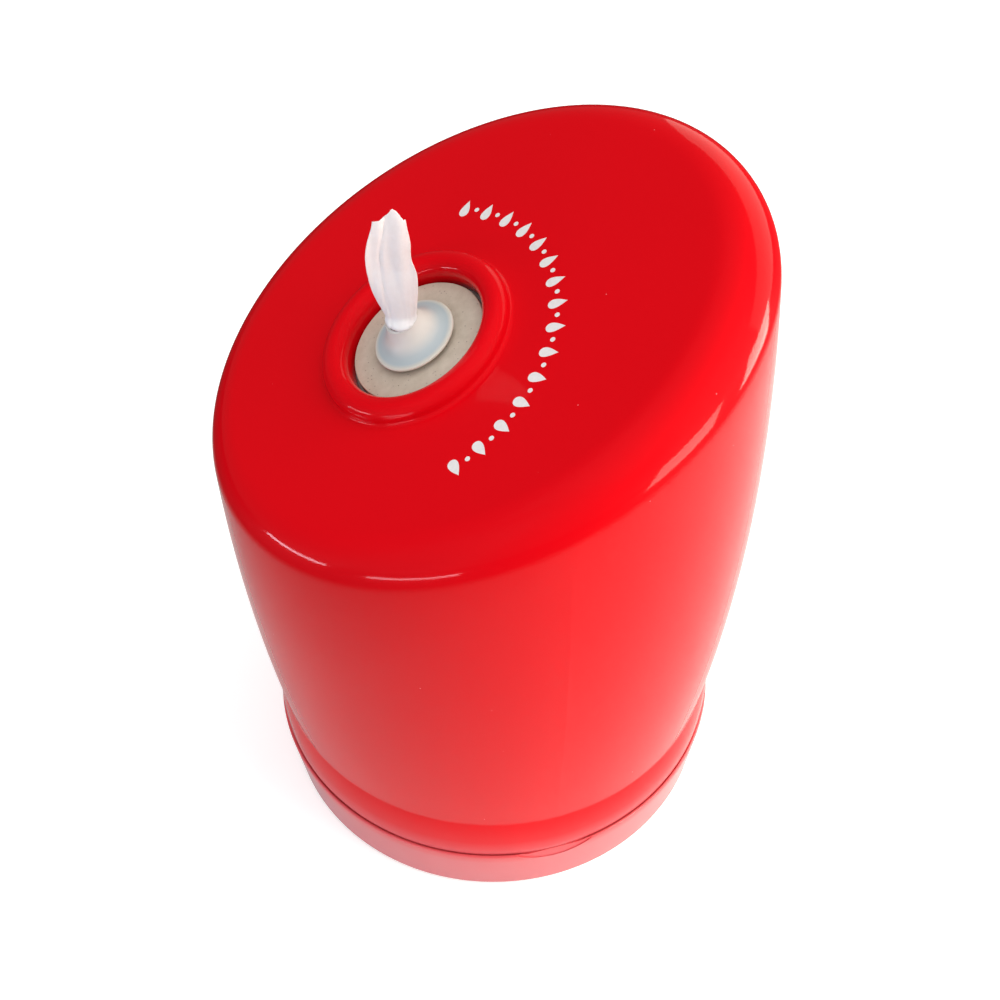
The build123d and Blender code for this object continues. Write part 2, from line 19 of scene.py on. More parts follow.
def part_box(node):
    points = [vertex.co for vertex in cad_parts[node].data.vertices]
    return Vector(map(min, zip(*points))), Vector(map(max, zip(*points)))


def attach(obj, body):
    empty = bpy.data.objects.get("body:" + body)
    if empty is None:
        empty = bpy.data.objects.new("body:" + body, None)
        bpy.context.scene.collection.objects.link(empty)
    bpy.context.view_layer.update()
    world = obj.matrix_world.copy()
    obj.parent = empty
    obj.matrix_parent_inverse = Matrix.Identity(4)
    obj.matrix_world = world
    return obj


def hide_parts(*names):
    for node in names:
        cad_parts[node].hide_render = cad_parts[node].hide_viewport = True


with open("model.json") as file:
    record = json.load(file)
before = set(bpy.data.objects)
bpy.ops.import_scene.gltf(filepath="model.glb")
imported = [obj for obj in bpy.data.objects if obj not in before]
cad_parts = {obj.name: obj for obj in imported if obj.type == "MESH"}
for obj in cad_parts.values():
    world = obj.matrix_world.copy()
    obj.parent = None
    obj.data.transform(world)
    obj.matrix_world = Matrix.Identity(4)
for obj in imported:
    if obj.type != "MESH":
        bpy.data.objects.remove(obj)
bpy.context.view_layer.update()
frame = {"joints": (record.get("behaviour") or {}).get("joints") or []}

# %% [markdown]
# ## Sizes
#
# Where the frame can tell a size, it is read from the frame, so that a piece always meets its
# neighbours. The rest are the moulding's own sizes, such as wall thickness and roundings, and each
# is written once here. Blender works in metres, so one named millimetre keeps the numbers readable.

# %% Sizes of the cover
MM = 0.001

shell_low, shell_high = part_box("cover_shell")
SEAM_Z = shell_low.z                    # the cover's lower edge
BELLY_RADIUS = shell_high.x             # the wall's widest place
BELLY_HEIGHT = 188.6 * MM
WALL_BOW_RADIUS = 970 * MM              # gentle bow of the wall, seen from the side
TOP_HEIGHT = 256.1 * MM                 # sloping top, on the body's centre line
EDGE_ROUND = 17.5 * MM                  # ball that would roll along the edge between top and wall
COVER_WALL = 3.0 * MM
SKIRT_HEIGHT = 11.0 * MM                # lower part of the skirt, below its swell
SWELL_HEIGHT = 13.2 * MM                # the skirt swells out from the wall over this height
SKIRT_WALL = 3.6 * MM
BORE_HEIGHT = 19.4 * MM                 # straight bore that slides over the base
SEAM_CHAMFER = 0.8 * MM
SEAM_STEP = 0.7 * MM                    # the base's shoulder stands this far outside the skirt
SKIRT_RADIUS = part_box("base_tray")[1].y - SEAM_STEP

pull_axis = Vector(next(j for j in frame["joints"] if j["name"] == "wipe_pull")["axis"])
TOP_SLOPE = math.asin(-pull_axis.y)     # the wipe is drawn square to the sloping top
print("slope, degrees:", round(math.degrees(TOP_SLOPE), 2), "belly radius, mm:", round(BELLY_RADIUS / MM, 2))

# %% Sizes of the collar and the nozzle
COLLAR_OFFSET = 28.7 * MM               # collar's centre, down the slope from the body's centre line
OPENING_RADIUS = 27.2 * MM
BEAD_RADIUS = 4.9 * MM
BEAD_RISE = 1.6 * MM
COLLAR_WALL = 2.6 * MM
LIP_DEPTH = 5.0 * MM
PLATE_FACE = -1.0 * MM                  # plate's face, along the nozzle's axis from the slope
PLATE_RADIUS = 25.8 * MM
DOME_RIM_RADIUS = 14.9 * MM
DOME_RIM_THICKNESS = 1.3 * MM
DOME_RIM_LIFT = 2.2 * MM
DOME_HEIGHT = 12.4 * MM
MOUTH_RADIUS = 5.0 * MM

UPHILL = Vector((0, math.cos(TOP_SLOPE), math.sin(TOP_SLOPE)))
NORMAL = Vector((0, -math.sin(TOP_SLOPE), math.cos(TOP_SLOPE)))
SLOPE_POINT = Vector((0, 0, TOP_HEIGHT))
NOZZLE_POINT = SLOPE_POINT - COLLAR_OFFSET * UPHILL
NOZZLE = Matrix.Translation(NOZZLE_POINT) @ Matrix((Vector((1, 0, 0)), UPHILL, NORMAL)).transposed().to_4x4()
print("nozzle stands at, mm:", [round(x / MM, 2) for x in NOZZLE_POINT])

# %% [markdown]
# ## Camera, floor and light
#
# The camera looks down on the object from its right side, the way someone standing at a counter
# sees it. A camera's own axes are its right, its up and its back, so three directions and a point
# give the whole matrix. The lens is a mild telephoto, which keeps the round body from swelling.

# %% Camera
CAMERA_POINT = Vector((399.55, -103.39, 617.50)) * MM
CAMERA_RIGHT = Vector((0.26992, 0.96283, -0.00950))
CAMERA_UP = Vector((-0.72136, 0.20874, 0.66035))
CAMERA_LENS = 55.39                     # millimetres, on a sensor 36 mm wide

camera_data = bpy.data.cameras.new("camera")
camera_data.lens = CAMERA_LENS
camera_data.clip_start = 0.01
camera = bpy.data.objects.new("camera", camera_data)
bpy.context.scene.collection.objects.link(camera)
camera_back = CAMERA_RIGHT.cross(CAMERA_UP)
axes = Matrix((CAMERA_RIGHT, CAMERA_UP, camera_back)).transposed()
camera.matrix_world = Matrix.Translation(CAMERA_POINT) @ axes.to_4x4()
bpy.context.scene.camera = camera
print("camera height, mm:", round(CAMERA_POINT.z / MM, 1))

# %% [markdown]
# Colours are written as sRGB hex, as a paint chart gives them, and one function turns them into the
# linear values that shaders work in. Another small function adds a node, fills in its settings and
# makes its links, so that each material below reads as a short list.

# %% Colour and node helpers
def linear(hex_colour):
    """sRGB hex to the linear colour that a shader socket takes."""
    channels = [int(hex_colour[i:i + 2], 16) / 255 for i in (1, 3, 5)]
    return tuple(c / 12.92 if c <= 0.04045 else ((c + 0.055) / 1.055) ** 2.4 for c in channels) + (1.0,)


def add_node(tree, kind, settings=None, links=None):
    """Adds a node. A setting goes to the socket of that name, or else to the node's own property."""
    node = tree.nodes.new(kind)
    for key, value in (settings or {}).items():
        if isinstance(key, int) or key in node.inputs:
            node.inputs[key].default_value = value
        else:
            setattr(node, key, value)
    for key, source in (links or {}).items():
        tree.links.new(source, node.inputs[key])
    return node


def new_material(name, **surface):
    """A material whose Principled BSDF has these values. Returns the material, its tree and the shader."""
    material = bpy.data.materials.new(name)
    material.use_nodes = True
    shader = material.node_tree.nodes["Principled BSDF"]
    for key, value in surface.items():
        shader.inputs[key.replace("_", " ")].default_value = value
    return material, material.node_tree, shader


def object_space(tree):
    """The coordinates that every pattern here is drawn in: the piece's own, in metres."""
    return add_node(tree, "ShaderNodeTexCoord").outputs["Object"]


def mix_colour(tree, factor, first, second):
    """Mixes two colours, each a socket or a value. Factor is a socket."""
    mix = add_node(tree, "ShaderNodeMix", {"data_type": "RGBA"}, {0: factor})
    for index, colour in ((6, first), (7, second)):
        if isinstance(colour, bpy.types.NodeSocket):
            tree.links.new(colour, mix.inputs[index])
        else:
            mix.inputs[index].default_value = colour
    return mix.outputs[2]


print("signal red, linear:", [round(c, 3) for c in linear("#D80310")])

# %% [markdown]
# The floor is a plain, nearly white table. It matters more than a floor usually does: the glossy wall
# mirrors it, and that pale wash over the red is what makes the plastic look glossy. It glows a little
# for the camera alone, as an overexposed product backdrop does, which leaves only a faint shadow.
# In reflections and bounced light the floor's colour turns dark from half a metre away: painted shade
# for the unlit room round the lamps. That gives the dark band which rolls along the edge above the pale wall.
# Soft boxes stand low on both sides and behind, and show as bright streaks along the rounded edge.
# Broad fill lamps overhead and around light everything evenly, but are left out of reflections.

# %% Floor
FLOOR_SIZE = 8.0
TABLE_CENTRE = (0.06, 0.09, 0)
# Past these distances the floor is painted dark: painted shade, seen only in reflections and bounced light.
TABLE_BRIGHT, PAINTED_SHADE_FROM = 0.26, 0.48    # bright out to the first distance, dark from the second
TABLE_COLOUR, PAINTED_SHADE_COLOUR = "#E8E7E5", "#40383A"
TABLE_GLOW = 0.5

bpy.ops.object.select_all(action="DESELECT")
bpy.ops.mesh.primitive_plane_add(size=FLOOR_SIZE, location=(0, 0, 0))
floor = bpy.context.object
floor.name = "floor"
floor_material, tree, shader = new_material(
    "matt_white_table", Roughness=0.9, Specular_IOR_Level=0.1, Emission_Color=linear("#FFFFFF"))
seen = add_node(tree, "ShaderNodeLightPath").outputs["Is Camera Ray"]
away = add_node(tree, "ShaderNodeVectorMath", {"operation": "DISTANCE", 1: TABLE_CENTRE},
                {0: object_space(tree)})
# Painted shade: the floor's colour fades from the table's white to a dark shade colour with distance.
painted_falloff = add_node(tree, "ShaderNodeMapRange",
                 {"From Min": TABLE_BRIGHT, "From Max": PAINTED_SHADE_FROM, "To Min": 1, "To Max": 0},
                 {"Value": away.outputs["Value"]})
near = add_node(tree, "ShaderNodeMath", {"operation": "MAXIMUM"}, {0: painted_falloff.outputs[0], 1: seen})
floor_colour = mix_colour(tree, near.outputs[0], linear(PAINTED_SHADE_COLOUR), linear(TABLE_COLOUR))
tree.links.new(floor_colour, shader.inputs["Base Color"])
glow = add_node(tree, "ShaderNodeMath", {"operation": "MULTIPLY", 1: TABLE_GLOW}, {0: seen})
tree.links.new(glow.outputs[0], shader.inputs["Emission Strength"])
floor.data.materials.append(floor_material)
print("floor, metres:", FLOOR_SIZE)

# %% Soft boxes, fill and surroundings
AIM = Vector((0, 0, 0.20))
COOL, WARM, PLAIN = "#E8F0FF", "#FFF3E6", "#FFFFFF"
ROOM_LIGHT, ROOM_SEEN = 0.16, 0.9       # strength of the surroundings as light, and as the camera sees them

# Name, azimuth and elevation in degrees, distance, size, watts, colour, and whether reflections show it
LAMPS = (
    ("left_lamp_near", -50, -10, 0.85, (0.46, 0.045), 1.1, COOL, True),
    ("left_lamp_far", -92, -6, 0.85, (0.34, 0.05), 1.1, COOL, True),
    ("right_lamp_near", 42, -2, 0.85, (0.42, 0.26), 3.8, WARM, True),
    ("right_lamp_far", 82, -4, 0.85, (0.30, 0.30), 3.8, WARM, True),
    ("back_glow", 118, 18, 1.2, (1.8, 0.8), 5.5, WARM, True),
    ("overhead_fill", 40, 78, 1.8, (2.6, 2.6), 37, PLAIN, False),
    ("right_fill", 53, 22, 1.4, (1.2, 1.2), 12.5, WARM, False),
    ("left_fill", -60, 22, 1.4, (1.2, 1.2), 4.4, COOL, False),
    ("front_fill", -25, 30, 1.4, (1.2, 1.2), 1.6, PLAIN, False),
)


def soft_box(name, azimuth, elevation, distance, size, power, colour, mirrored):
    """A soft rectangular lamp seen from the object in that direction, facing it."""
    data = bpy.data.lights.new(name, "AREA")
    data.shape = "RECTANGLE"
    data.size, data.size_y = size
    data.energy = power
    data.color = linear(colour)[:3]
    a, e = math.radians(azimuth), math.radians(elevation)
    away = Vector((math.cos(a) * math.cos(e), math.sin(a) * math.cos(e), math.sin(e)))
    lamp = bpy.data.objects.new(name, data)
    lamp.location = AIM + distance * away
    lamp.rotation_euler = away.to_track_quat("Z", "Y").to_euler()
    lamp.visible_camera = False
    lamp.visible_glossy = mirrored
    bpy.context.scene.collection.objects.link(lamp)


for lamp_row in LAMPS:
    soft_box(*lamp_row)

world = bpy.data.worlds.new("studio")
bpy.context.scene.world = world
world.use_nodes = True
tree = world.node_tree
background = tree.nodes["Background"]
background.inputs["Color"].default_value = linear("#F2F2F2")
path = add_node(tree, "ShaderNodeLightPath")
strength = add_node(tree, "ShaderNodeMix", {"data_type": "FLOAT", 2: ROOM_LIGHT, 3: ROOM_SEEN},
                    {0: path.outputs["Is Camera Ray"]})
tree.links.new(strength.outputs[0], background.inputs["Strength"])
bpy.context.scene.view_settings.view_transform = "Standard"

# %% [markdown]
# ## Modelling helpers
#
# Most pieces here are round, and a round piece can be made by hand in one way: add a circle, extrude
# it, scale the new ring, and go on ring by ring. `turned` does that from an outline of radius and
# height. A ring of almost no radius becomes a pole, and rings that meet are merged, so that the
# piece ends as one closed skin with its faces outwards.

# %% Edit-mode helpers
POLE = 0.002 * MM                       # radius that stands for the axis until the rings are merged
MERGE = 0.01 * MM


def start_circle(name, points, radius, height):
    """A bare circle of that many points, in edit mode with all of it selected."""
    bpy.ops.object.select_all(action="DESELECT")
    bpy.ops.mesh.primitive_circle_add(vertices=points, radius=radius, location=(0, 0, height))
    obj = bpy.context.object
    obj.name = name
    bpy.ops.object.transform_apply(location=True, rotation=True, scale=True)
    bpy.ops.object.mode_set(mode="EDIT")
    bpy.ops.mesh.select_all(action="SELECT")
    return obj


def close_skin(obj, merge=True):
    """Merges what meets, turns the faces outwards and leaves edit mode."""
    bpy.ops.mesh.select_all(action="SELECT")
    if merge:
        bpy.ops.mesh.remove_doubles(threshold=MERGE)
    bpy.ops.mesh.normals_make_consistent(inside=False)
    bpy.ops.object.mode_set(mode="OBJECT")
    return obj


def select_only(obj):
    """Makes one object the only one that is selected, and the active one."""
    bpy.ops.object.select_all(action="DESELECT")
    bpy.context.view_layer.objects.active = obj
    obj.select_set(True)


def set_in_place(obj, place):
    """Moves a piece by a matrix and applies the move, so that its own origin stays at the frame's."""
    select_only(obj)
    obj.matrix_world = place
    bpy.ops.object.transform_apply(location=True, rotation=True, scale=True)
    return obj


def turned(name, outline, around=96, place=None):
    """A piece turned from a closed outline of (radius, height), then set in place by a matrix."""
    radius, height = max(outline[0][0], POLE), outline[0][1]
    obj = start_circle(name, around, radius, height)
    for next_radius, next_height in outline[1:]:
        next_radius = max(next_radius, POLE)
        bpy.ops.mesh.extrude_region_move(TRANSFORM_OT_translate={"value": (0, 0, next_height - height)})
        scale = next_radius / radius
        bpy.ops.transform.resize(value=(scale, scale, 1), center_override=(0, 0, next_height))
        radius, height = next_radius, next_height
    close_skin(obj)
    return obj if place is None else set_in_place(obj, place)


print("edit-mode helpers ready")

# %% Outline helpers
def arc(radius, height, size, start, end, steps):
    """Outline points on an arc round (radius, height), from one angle to another, in degrees."""
    angles = [math.radians(start + (end - start) * k / steps) for k in range(steps + 1)]
    return [(radius + size * math.cos(a), height + size * math.sin(a)) for a in angles]


def line(start, end, steps):
    """Outline points along a straight line, with both its ends."""
    return [tuple(a + (b - a) * k / steps for a, b in zip(start, end)) for k in range(steps + 1)]


def shares(steps):
    """Even shares from 0 to 1, both included."""
    return [k / steps for k in range(steps + 1)]


def on_circle(radius, degrees, height=0):
    """A place on a level circle round the origin, as a matrix."""
    turn = math.radians(degrees)
    return Matrix.Translation((radius * math.cos(turn), radius * math.sin(turn), height))


print("quarter round of 1 mm:", [(round(r / MM, 2), round(h / MM, 2)) for r, h in arc(0, 0, MM, 0, 90, 2)])

# %% Finishing helpers
def apply_modifier(obj, kind, **settings):
    """Adds a modifier, sets it up and applies it, as the Apply button does."""
    select_only(obj)
    modifier = obj.modifiers.new(kind.title(), kind)
    for key, value in settings.items():
        setattr(modifier, key, value)
    bpy.ops.object.modifier_apply(modifier=modifier.name)


def boolean(obj, operation, tool):
    """Welds a closed shape to a piece (UNION) or cuts it away (DIFFERENCE), then removes the shape."""
    apply_modifier(obj, "BOOLEAN", operation=operation, solver="EXACT", object=tool)
    bpy.data.objects.remove(tool)


def finish_piece(obj, material, body, replaced=(), crease=35):
    """Smooths the shading except across sharp edges, and says what the piece is and rides on."""
    select_only(obj)
    bpy.ops.object.shade_smooth_by_angle(angle=math.radians(crease))
    obj.data.materials.clear()
    obj.data.materials.append(material)
    if replaced:
        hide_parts(*replaced)
    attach(obj, body)
    size = [round((max(axis) - min(axis)) / MM, 1) for axis in zip(*(v.co for v in obj.data.vertices))]
    print(f"{obj.name}: {len(obj.data.polygons)} faces, {size} mm")


print("finishing helpers ready")

# %% [markdown]
# ## The cover
#
# The cover is one gloss moulding. Up to the bowed wall it is round, but the sloping top cuts it at an
# angle, so its rounded edge can't be a plain bevel: a bevel of one width would be too tight where the
# corner is sharp and too wide where it is open. Here each ring of the edge is placed where a ball of
# one size, rolling along the corner inside, would touch. The skin is made as one long chain of rings,
# from the collar's lip over the slope, down the outside and back up inside, so the wall has its real
# thickness.

# %% The wall's shape, as formulas
AROUND = 216
SEAM_LINE_HALF = 0.22 * MM              # half the width of the mould's parting line
SEAM_LINE_RISE = 0.05 * MM
BALL_STEPS = 40                         # steps that bring the edge ball to rest against the slope


def wall_radius(z):
    """Outside radius of the bowed wall at height z."""
    return BELLY_RADIUS - WALL_BOW_RADIUS + math.sqrt(WALL_BOW_RADIUS**2 - (z - BELLY_HEIGHT) ** 2)


def wall_lean(z):
    """How fast that radius grows with height."""
    return -(z - BELLY_HEIGHT) / math.sqrt(WALL_BOW_RADIUS**2 - (z - BELLY_HEIGHT) ** 2)


def around_angles():
    """Angles of the rings' points, with a few more beside the two parting lines."""
    angles = [2 * math.pi * k / AROUND for k in range(AROUND)]
    side = SEAM_LINE_HALF / BELLY_RADIUS
    extra = [a + s * side for a in (0, math.pi) for s in (-3, -1, 1, 3)]
    return sorted((a % (2 * math.pi)) for a in angles + extra)


ANGLES = around_angles()


def level_ring(radius, z):
    """Ring of points at one radius and height."""
    return [Vector((radius * math.cos(a), radius * math.sin(a), z)) for a in ANGLES]


def ball_touch(angle, inset):
    """Centre of the edge ball at one angle, and the wall's normal where it touches.

    Inset is how deep under the outer skin the surface lies."""
    ball = EDGE_ROUND - inset
    z = TOP_HEIGHT
    for _ in range(BALL_STEPS):
        outward = Vector((math.cos(angle), math.sin(angle), -wall_lean(z))).normalized()
        radius = wall_radius(z) - inset
        touch = Vector((math.cos(angle) * radius, math.sin(angle) * radius, z))
        centre = touch - ball * outward
        above = (centre - SLOPE_POINT).dot(NORMAL) + inset + ball
        z -= above / NORMAL.z
    return centre, outward


def edge_ring(touches, inset, share):
    """One ring of the rounded edge: share 0 lies on the wall, share 1 on the slope."""
    ball = EDGE_ROUND - inset
    ring = []
    for centre, outward in touches:
        turn = outward.angle(NORMAL)
        towards = (math.sin((1 - share) * turn) * outward + math.sin(share * turn) * NORMAL) / math.sin(turn)
        ring.append(centre + ball * towards)
    return ring


def collar_ring(radius, rise):
    """Ring round the nozzle's axis."""
    return [NOZZLE @ Vector((radius * math.cos(a), radius * math.sin(a), rise)) for a in ANGLES]


def between(first, last, share):
    """Ring part of the way from one ring to another."""
    return [a.lerp(b, share) for a, b in zip(first, last)]


outer_touches = [ball_touch(a, 0) for a in ANGLES]
inner_touches = [ball_touch(a, COVER_WALL) for a in ANGLES]
wall_tops = [point.z for point in edge_ring(outer_touches, 0, 0)]
print("wall meets the edge round from, to, mm:", [round(f(wall_tops) / MM, 1) for f in (min, max)])

# %% Rings of the cover, from the collar's lip outwards, down the wall and back inside
SKIRT_TOP_Z = SEAM_Z + SKIRT_HEIGHT
WALL_FOOT_Z = SKIRT_TOP_Z + SWELL_HEIGHT
SKIRT_BORE = SKIRT_RADIUS - SKIRT_WALL
BEAD_CENTRE = OPENING_RADIUS + BEAD_RADIUS
COLLAR_FOOT = BEAD_CENTRE + BEAD_RADIUS + BEAD_RISE
LIP_ROUND = 0.6 * MM
CREASE_SHARES = (0.022, 0.007)          # two close rings at the wall's foot keep its crease crisp
# The skirt's lower edge, as (inwards, upwards) in widths of its chamfer
SKIRT_EDGE = ((0.0, 8.0), (0.08, 4.5), (0.22, 2.8), (0.5, 1.4), (0.8, 0.5), (1.0, 0.0))


def wall_ring(share, touches, inset):
    """Ring on the wall, from its foot (share 0) to where the edge round begins (share 1).

    Outside, the parting lines stand a little proud and fade out towards both ends."""
    ring = []
    for angle, top in zip(ANGLES, edge_ring(touches, inset, 0)):
        z = WALL_FOOT_Z + share * (top.z - WALL_FOOT_Z)
        radius = wall_radius(z) - inset
        if inset == 0 and abs(math.sin(angle)) < 1.5 * SEAM_LINE_HALF / BELLY_RADIUS:
            radius += SEAM_LINE_RISE * min(1, 4 * share, 6 * (1 - share))
        ring.append(Vector((radius * math.cos(angle), radius * math.sin(angle), z)))
    return ring


def swell_ring(share):
    """Ring of the skirt's swell: upright where it starts, and ending in a soft crease under the wall."""
    start, end = SKIRT_RADIUS, wall_radius(WALL_FOOT_Z)
    radius = end + (start - end) * math.cos(math.pi / 2 * share)
    return level_ring(radius, SKIRT_TOP_Z + share * SWELL_HEIGHT)


def outer_rings():
    """Rings that are seen from outside, from the collar's lip to the skirt's lower edge."""
    foot = collar_ring(COLLAR_FOOT, 0)
    top_edge = edge_ring(outer_touches, 0, 1)
    collar = arc(OPENING_RADIUS + LIP_ROUND, -LIP_DEPTH + LIP_ROUND, LIP_ROUND, 270, 180, 3)
    collar += arc(BEAD_CENTRE, BEAD_RISE, BEAD_RADIUS, 180, 0, 22)
    collar += arc(COLLAR_FOOT, BEAD_RISE, BEAD_RISE, 180, 270, 5)[1:]
    rings = [collar_ring(radius, rise) for radius, rise in collar]
    rings += [between(foot, top_edge, share) for share in shares(14)[1:]]
    rings += [edge_ring(outer_touches, 0, 1 - share) for share in shares(18)[1:-1]]
    rings += [wall_ring(1 - share, outer_touches, 0) for share in shares(20)[:-1]]
    rings += [wall_ring(share, outer_touches, 0) for share in CREASE_SHARES]
    rings += [swell_ring(1 - share) for share in shares(12)]
    rings += [level_ring(SKIRT_RADIUS - SEAM_CHAMFER * inwards, SEAM_Z + SEAM_CHAMFER * upwards)
              for inwards, upwards in SKIRT_EDGE]
    return rings


def inner_rings():
    """Rings inside, from the skirt's bore up the wall and under the slope to the collar's lip."""
    under_slope = edge_ring(inner_touches, COVER_WALL, 1)
    under_bead = collar_ring(BEAD_CENTRE + BEAD_RADIUS - COLLAR_WALL, -COVER_WALL)
    rings = [level_ring(SKIRT_BORE + SEAM_CHAMFER, SEAM_Z), level_ring(SKIRT_BORE, SEAM_Z + SEAM_CHAMFER),
             level_ring(SKIRT_BORE, SEAM_Z + BORE_HEIGHT)]
    rings += [wall_ring(share, inner_touches, COVER_WALL) for share in shares(8)[:-1]]
    rings += [edge_ring(inner_touches, COVER_WALL, share) for share in shares(8)]
    rings += [between(under_slope, under_bead, share) for share in shares(5)[1:]]
    rings += [collar_ring(radius, rise)
              for radius, rise in arc(BEAD_CENTRE, BEAD_RISE, BEAD_RADIUS - COLLAR_WALL, 0, 180, 8)]
    rings.append(collar_ring(OPENING_RADIUS + COLLAR_WALL, -LIP_DEPTH))
    return rings


cover_rings = outer_rings() + inner_rings()
print("rings:", len(cover_rings), "of", len(ANGLES), "points")

# %% Extrude the cover ring by ring
def chain_of_rings(name, rings):
    """A skin through a list of rings, in edit mode: each is extruded from the last and set in its place."""
    obj = start_circle(name, len(rings[0]), 1, 0)
    order = bmesh.from_edit_mesh(obj.data).verts.layers.int.new("order")
    for i, v in enumerate(bmesh.from_edit_mesh(obj.data).verts):
        v[order] = i
    for k, ring in enumerate(rings):
        if k:
            bpy.ops.mesh.extrude_region_move()
        mesh = bmesh.from_edit_mesh(obj.data)
        order = mesh.verts.layers.int["order"]
        for v in mesh.verts:
            if v.select:
                v.co = ring[v[order]]
    bmesh.update_edit_mesh(obj.data)
    return obj


cover = close_skin(chain_of_rings("cover_shell_skin", cover_rings + cover_rings[:1]))
print("cover faces:", len(cover.data.polygons))

# %% [markdown]
# Four bosses hang under the slope and take the screws of the clamp ring. They are plain cylinders
# with a pilot hole, joined to the skin with a Boolean, which is the quickest honest way to weld two
# closed shapes. Seen from outside they don't show, but they are there when the cover is lifted.

# %% Screw bosses under the slope
SCREW_ANGLES = (45, 135, 225, 315)      # degrees, for every set of four screws
BOSS_CIRCLE = 43.0 * MM
BOSS_RADIUS = 3.8 * MM
BOSS_TOP, BOSS_FOOT = -COVER_WALL / 2, -9.0 * MM
PILOT_RADIUS, PILOT_DEPTH = 1.5 * MM, 6.5 * MM


def weld_bosses(piece, circle, radius, top, foot, pilot_radius, pilot_depth, place=Matrix.Identity(4)):
    """Welds four screw bosses, each with a pilot hole from below, to a piece."""
    pilot_end = foot + pilot_depth
    outline = [(0, top), (radius, top), (radius, foot), (pilot_radius, foot), (pilot_radius, pilot_end),
               (0, pilot_end)]
    for degrees in SCREW_ANGLES:
        boss = turned("boss", outline, around=32, place=place @ on_circle(circle, degrees))
        boolean(piece, "UNION", boss)


weld_bosses(cover, BOSS_CIRCLE, BOSS_RADIUS, BOSS_TOP, BOSS_FOOT, PILOT_RADIUS, PILOT_DEPTH, NOZZLE)
print("cover faces with bosses:", len(cover.data.polygons))

# %% [markdown]
# ### Gloss red ABS
#
# The cover and base are injection-moulded ABS in signal red. Gloss ABS has an IOR near 1.5, and its
# gloss has two scales: a crisp mirror of the lamps, and a wide, soft sheen round it. A Principled
# BSDF gives both, as a smooth base under a thin, rougher coat. Faint flow waves from moulding bend
# the reflections, and a little dust catches the light. Low down the red is painted paler towards the
# table: a painted reflection of the pale table and of the light it bounces, mixed in by a ramp over
# the height. The base has more of this painted wash, and its stronger coat takes up more of the pale table.
#
# Plastics, rubber, steel and cloth are all uneven in the same few ways, so the patterns come first, as
# functions: a cloudy noise, a scatter of specks, a ramp of colours, and a bump that bends the shading.

# %% Patterns
def noise(tree, where, scale, detail, roughness=0.5):
    """Cloudy pattern from 0 to 1, with about that many clouds in a metre."""
    settings = {"Scale": scale, "Detail": detail, "Roughness": roughness}
    return add_node(tree, "ShaderNodeTexNoise", settings, {"Vector": where}).outputs["Fac"]


def specks(tree, where, spacing, size, share):
    """Mask of small dots: one cell in every spacing, a share of them filled, each of about that size."""
    cells = add_node(tree, "ShaderNodeTexVoronoi", {"Scale": 1 / spacing}, {"Vector": where})
    dot = add_node(tree, "ShaderNodeMath", {"operation": "LESS_THAN", 1: size / spacing / 2},
                   {0: cells.outputs["Distance"]})
    channel = add_node(tree, "ShaderNodeSeparateColor", {}, {"Color": cells.outputs["Color"]})
    chosen = add_node(tree, "ShaderNodeMath", {"operation": "LESS_THAN", 1: share},
                      {0: channel.outputs["Red"]})
    both = add_node(tree, "ShaderNodeMath", {"operation": "MULTIPLY"},
                    {0: dot.outputs[0], 1: chosen.outputs[0]})
    return both.outputs[0]


def colour_ramp(tree, share, stops):
    """Colour that runs through (position, colour) stops as the share goes from 0 to 1."""
    ramp = add_node(tree, "ShaderNodeValToRGB", {}, {"Fac": share})
    while len(ramp.color_ramp.elements) < len(stops):
        ramp.color_ramp.elements.new(0.5)
    for element, (position, colour) in zip(ramp.color_ramp.elements, stops):
        element.position = position
        element.color = colour
    return ramp.outputs["Color"]


def map_range(tree, value, **ends):
    """A value moved from one range to another. What isn't given stays 0 to 1."""
    settings = {key.replace("_", " "): end for key, end in ends.items()}
    return add_node(tree, "ShaderNodeMapRange", settings, {"Value": value}).outputs[0]


def bump(tree, height, strength, distance, over=None):
    """Normals bent by a pattern of heights, on top of other bent normals if they are given."""
    links = {"Height": height} if over is None else {"Height": height, "Normal": over}
    bent = add_node(tree, "ShaderNodeBump", {"Strength": strength, "Distance": distance}, links)
    return bent.outputs["Normal"]


def paint(tree, shader, colour, normal=None):
    """Gives a shader its colour and, where it has a texture, its bent normals."""
    tree.links.new(colour, shader.inputs["Base Color"])
    if normal is not None:
        tree.links.new(normal, shader.inputs["Normal"])


print("patterns ready")

